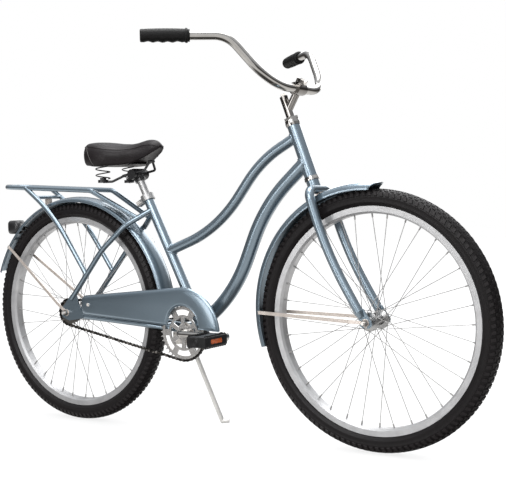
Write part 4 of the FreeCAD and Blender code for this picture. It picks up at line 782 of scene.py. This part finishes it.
def grips():
    """Moulded grips: fine rings, an inner flange and finger scallops underneath."""
    along = (BAR_CROOK - BAR_END).normalized()
    across = along.cross(UPWARD).normalized()
    down = along.cross(across).normalized()
    rows = list(GRIP_CAP)
    for step in range(GRIP_STEPS + 1):
        rows.append((GRIP_LENGTH * step / GRIP_STEPS, grip_radius(step)))
    rows.append((GRIP_LENGTH, BAR_RADIUS))
    vertices = []
    for t, radius in rows:
        scoop = 0
        if SCALLOP_START < t < SCALLOP_END:
            wave = math.cos(2 * math.pi * (t - SCALLOP_CREST) / SCALLOP_PITCH)
            scoop = SCALLOP_DEPTH * (0.5 - 0.5 * wave)
        for turn in circle(GRIP_SIDES):
            facing = math.cos(turn)
            reach = radius - scoop * max(facing, 0) ** 3
            spot = along * t + down * (reach * facing) + across * (reach * math.sin(turn))
            vertices.append(BAR_END + spot / 1000)
    faces = bands(len(rows), GRIP_SIDES)
    count = len(vertices)
    vertices += [Vector((spot.x, -spot.y, spot.z)) for spot in vertices]
    faces += [tuple(count + index for index in reversed(face)) for face in faces]
    pair = piece("grip_pair", vertices, faces, SOFT_RUBBER)
    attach(pair, "bars")
    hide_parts("grips")


# Fender beads
REAR_ARC = place(4, 0, 323)
FRONT_ARC = place(991, 0, 347)
FENDER_HALF = 30.5
FENDER_BEAD = 1.3
BEAD_STEPS = 72


def fender_beads(name, centre, radius, first, last, body):
    """Rolled edges along both sides of a fender, between two angles in degrees."""
    angles = [first + (last - first) * step / BEAD_STEPS for step in range(BEAD_STEPS + 1)]
    paths = []
    for y in (-FENDER_HALF, FENDER_HALF):
        paths.append([around(centre, radius, degrees, y) for degrees in angles])
    wire(name, paths, FENDER_BEAD, ENAMEL, body)


# Chain guard, seen from the right: x and z
GUARD_FOOT = (64, 327)
GUARD_SLOPE = 34.1 / 500.7
GUARD_ARCH, ARCH_RADIUS = (441, 305), 56
GUARD_LOBE, LOBE_RADIUS = (438, 284), 127
LOBE_START, LOBE_END = 4, 93
# The pressed edge is wider round the front of the lobe: by how much, and the degrees over which it widens
LOBE_WIDER, WIDER_FROM, WIDER_OVER = 1.6, 80, 50
# It is narrower along the lower edge and the arch
LOW_SHARE = 0.35
# Rear end from the top down: x and z, and the shares of the inset that move them
GUARD_REAR = [(76, 383, 0.7, 1), (69, 381, 0.8, 1), (63, 376, 1, 0.8), (59.3, 369, 1, 0.4),
              (58, 362, 1, 0), (58, 338, 1, 0)]
GUARD_STEPS = 44
# Pressed edge: inset from the outline, and y
GUARD_EDGE = [(0, -52.2), (0.3, -54), (1.2, -56.0), (2.9, -57.8), (5.2, -59.1), (8, -60.0), (11.5, -60.7),
              (15, -61.1), (18, -61.2)]
GUARD_SHEET = 1.2
# The lip follows the foot, the arch and the start of the lobe
LIP_Y, LIP_RADIUS = -57.7, 1.6
LIP_POINTS = GUARD_STEPS + 3


def on_arc(centre, radius, turn):
    """A point of an arc, as x and z."""
    return centre[0] + radius * math.cos(turn), centre[1] + radius * math.sin(turn)


def guard_low(x):
    """Height of the guard's straight lower edge."""
    return GUARD_FOOT[1] - GUARD_SLOPE * (x - GUARD_FOOT[0])


def guard_loop(inset):
    """The guard's outline drawn in by an inset: lower edge, arch, round lobe, top edge and rear end."""
    tight = inset * LOW_SHARE
    points = [(GUARD_FOOT[0] + inset, guard_low(GUARD_FOOT[0]) + tight)]
    # Angles at which the arch leaves the sloping lower edge and meets it again
    radius = ARCH_RADIUS + tight
    slope = -math.atan(GUARD_SLOPE)
    drop = guard_low(GUARD_ARCH[0]) + tight - GUARD_ARCH[1]
    dip = math.asin(drop * math.cos(slope) / radius)
    first, last = math.pi + slope - dip, slope + dip
    for step in range(GUARD_STEPS + 1):
        points.append(on_arc(GUARD_ARCH, radius, first + (last - first) * step / GUARD_STEPS))
    start = LOBE_START + math.degrees(inset / LOBE_RADIUS)
    for step in range(GUARD_STEPS + 1):
        degrees = start + (LOBE_END - start) * step / GUARD_STEPS
        wider = LOBE_WIDER * min(1, max(0, (WIDER_FROM - degrees) / WIDER_OVER))
        points.append(on_arc(GUARD_LOBE, LOBE_RADIUS - inset * (1 + wider), math.radians(degrees)))
    return points + [(x + inset * ahead, z - inset * down) for x, z, ahead, down in GUARD_REAR]


def guard():
    """Pressed guard with rolled edges, and the bead along its lower edge and round its arch."""
    vertices = []
    for inset, y in GUARD_EDGE:
        vertices += [place(x, y, z) for x, z in guard_loop(inset)]
    outline = guard_loop(0)
    faces = bands(len(GUARD_EDGE), len(outline))
    faces.append(tuple(range(len(vertices) - len(outline), len(vertices))))
    shell = piece("guard_shell", vertices, faces, ENAMEL)
    sheet = shell.modifiers.new("sheet", "SOLIDIFY")
    sheet.thickness = GUARD_SHEET / 1000
    sheet.offset = 1.0 if shell.data.polygons[-1].normal.y > 0 else -1.0
    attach(shell, "frame")
    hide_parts("chain_guard")
    lip = [place(x, LIP_Y, z) for x, z in outline[:LIP_POINTS]]
    wire("guard_lip", [lip], LIP_RADIUS, ENAMEL, "frame")


# Welds: the joint's end of a tube, a point back along it, its radius, and what it stands on
WELDS = [((799.4, 0, 804.1), (684, 0, 747.6), 14.3, "head_tube"),
         ((823.6, 0, 735.6), (693, 0, 627.2), 19, "head_tube"),
         ((361, 0, 510.1), (536.6, 0, 570.7), 14.3, "seat_tube"),
         ((CRANK_X, 0, CRANK_Z), (582.9, 0, 390.4), 19, "bottom_bracket_shell")]
WELD_STEPS = 64
WELD_BACK = 70
WELD_RADIUS = 2.4
WELD_RIPPLE = 0.22


def welds():
    """Fillet beads where the frame tubes meet."""
    bpy.context.view_layer.update()
    paths = []
    for end, back, radius, onto in WELDS:
        tip = place(*end)
        along = (tip - place(*back)).normalized()
        up = along.cross(SIDEWAYS)
        path = []
        for turn in circle(WELD_STEPS):
            skin = (SIDEWAYS * math.cos(turn) + up * math.sin(turn)) * radius
            start = tip + (skin - along * WELD_BACK) / 1000
            hit, spot = frame["nodes"][onto].ray_cast(start, along)[:2]
            if hit:
                path.append(spot)
        paths.append(path)
    wire("weld_beads", paths, WELD_RADIUS, ENAMEL, "frame", closed=True, ripple=WELD_RIPPLE)


# Reflector housing from the lens to the fender: x and half width
HOUSING = [(-277.9, 0), (-277.9, 19.9), (-282, 19.9), (-282, 21.2), (-280.6, 21.8), (-250, 21.8),
           (-244, 20), (-240, 15), (-238, 10), (-226, 9.5), (-226, 0)]
HOUSING_HEIGHT = 591
HOUSING_SIDES = 40
# Sections wider than this are rounded squares, by this power
SQUARE_OVER, SQUARE_POWER = 20, 4


def reflector_housing():
    """Black rear reflector housing of a rounded square section, on a short neck."""
    vertices = []
    for x, half in HOUSING:
        for turn in circle(HOUSING_SIDES):
            across, up = math.cos(turn), math.sin(turn)
            reach = half
            if half > SQUARE_OVER:
                reach *= (abs(across) ** SQUARE_POWER + abs(up) ** SQUARE_POWER) ** (-1 / SQUARE_POWER)
            vertices.append(place(x, reach * across, HOUSING_HEIGHT + reach * up))
    housing = piece("reflector_housing", vertices, bands(len(HOUSING), HOUSING_SIDES), BLACK)
    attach(housing, "frame")
    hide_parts("rear_reflector")


# Pedals, level with the crank axle at rest, with teeth in rows
TOOTH_COUNT = 10
TOOTH_FIRST, TOOTH_PITCH = 114.5, 9.3
TOOTH_ROW = 26.2
TOOTH_LONG, TOOTH_WIDE = 2.6, 3.6
# A tooth's foot and top: share of its width, and height above the pedal's axis
TOOTH_LEVELS = ((1.0, 13.0), (0.5, 17.2))
# Dust cap: radius, and reach past the pedal's outer end
PEDAL_CAP = [(11.0, -1.0), (11.0, 0.9), (10.4, 1.5), (8.4, 1.5), (7.8, 0.7), (7.0, 0.6), (6.4, 1.6),
             (4.0, 2.3), (0, 2.5)]
PEDAL_END = 205
CAP_SIDES = 28


def on_pedal(sign, y):
    """A point on the axis of the left pedal, or of the right one where the sign is negative."""
    return place(CRANK_X - sign * CRANK_LENGTH, sign * y, CRANK_Z)


def pedal_teeth(name, sign, body):
    """Rows of blunt teeth along a pedal's front and rear edges, above and below."""
    vertices, faces = [], []
    for end in (-1, 1):
        for up in (-1, 1):
            for step in range(TOOTH_COUNT):
                middle = on_pedal(sign, TOOTH_FIRST + TOOTH_PITCH * step)
                corners = []
                for share, high in TOOTH_LEVELS:
                    for u, v in CORNERS:
                        spot = (end * TOOTH_ROW + u * TOOTH_LONG * share, v * TOOTH_WIDE * share, up * high)
                        corners.append(middle + Vector(spot) / 1000)
                add_block(vertices, faces, corners)
    teeth = piece(name, vertices, faces, PLASTIC, smooth=False)
    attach(teeth, body)


def pedal_cap(name, sign, body):
    """Round dust cap on a pedal's outer end."""
    base = on_pedal(sign, PEDAL_END)
    out = Vector((0, sign, 0))
    across = Vector((1, 0, 0))
    lathe(name, PEDAL_CAP, CAP_SIDES, base, out, across, PLASTIC, body)


tyre("front_tyre_moulded", FRONT, "front_tyre", "front_wheel")
tyre("rear_tyre_moulded", REAR, "rear_tyre", "rear_wheel")
valve("front_valve", FRONT, 122.5, "front_wheel")
valve("rear_valve", REAR, 4, "rear_wheel")
saddle()
springs()
grips()
fender_beads("rear_fender_beads", REAR_ARC, radius=340.2, first=4, last=158.6, body="frame")
fender_beads("front_fender_beads", FRONT_ARC, radius=310.2, first=86.5, last=197, body="steering")
guard()
welds()
reflector_housing()
pedal_teeth("pedal_teeth_right", -1, "right_pedal")
pedal_teeth("pedal_teeth_left", 1, "left_pedal")
pedal_cap("pedal_cap_right", -1, "right_pedal")
pedal_cap("pedal_cap_left", 1, "left_pedal")
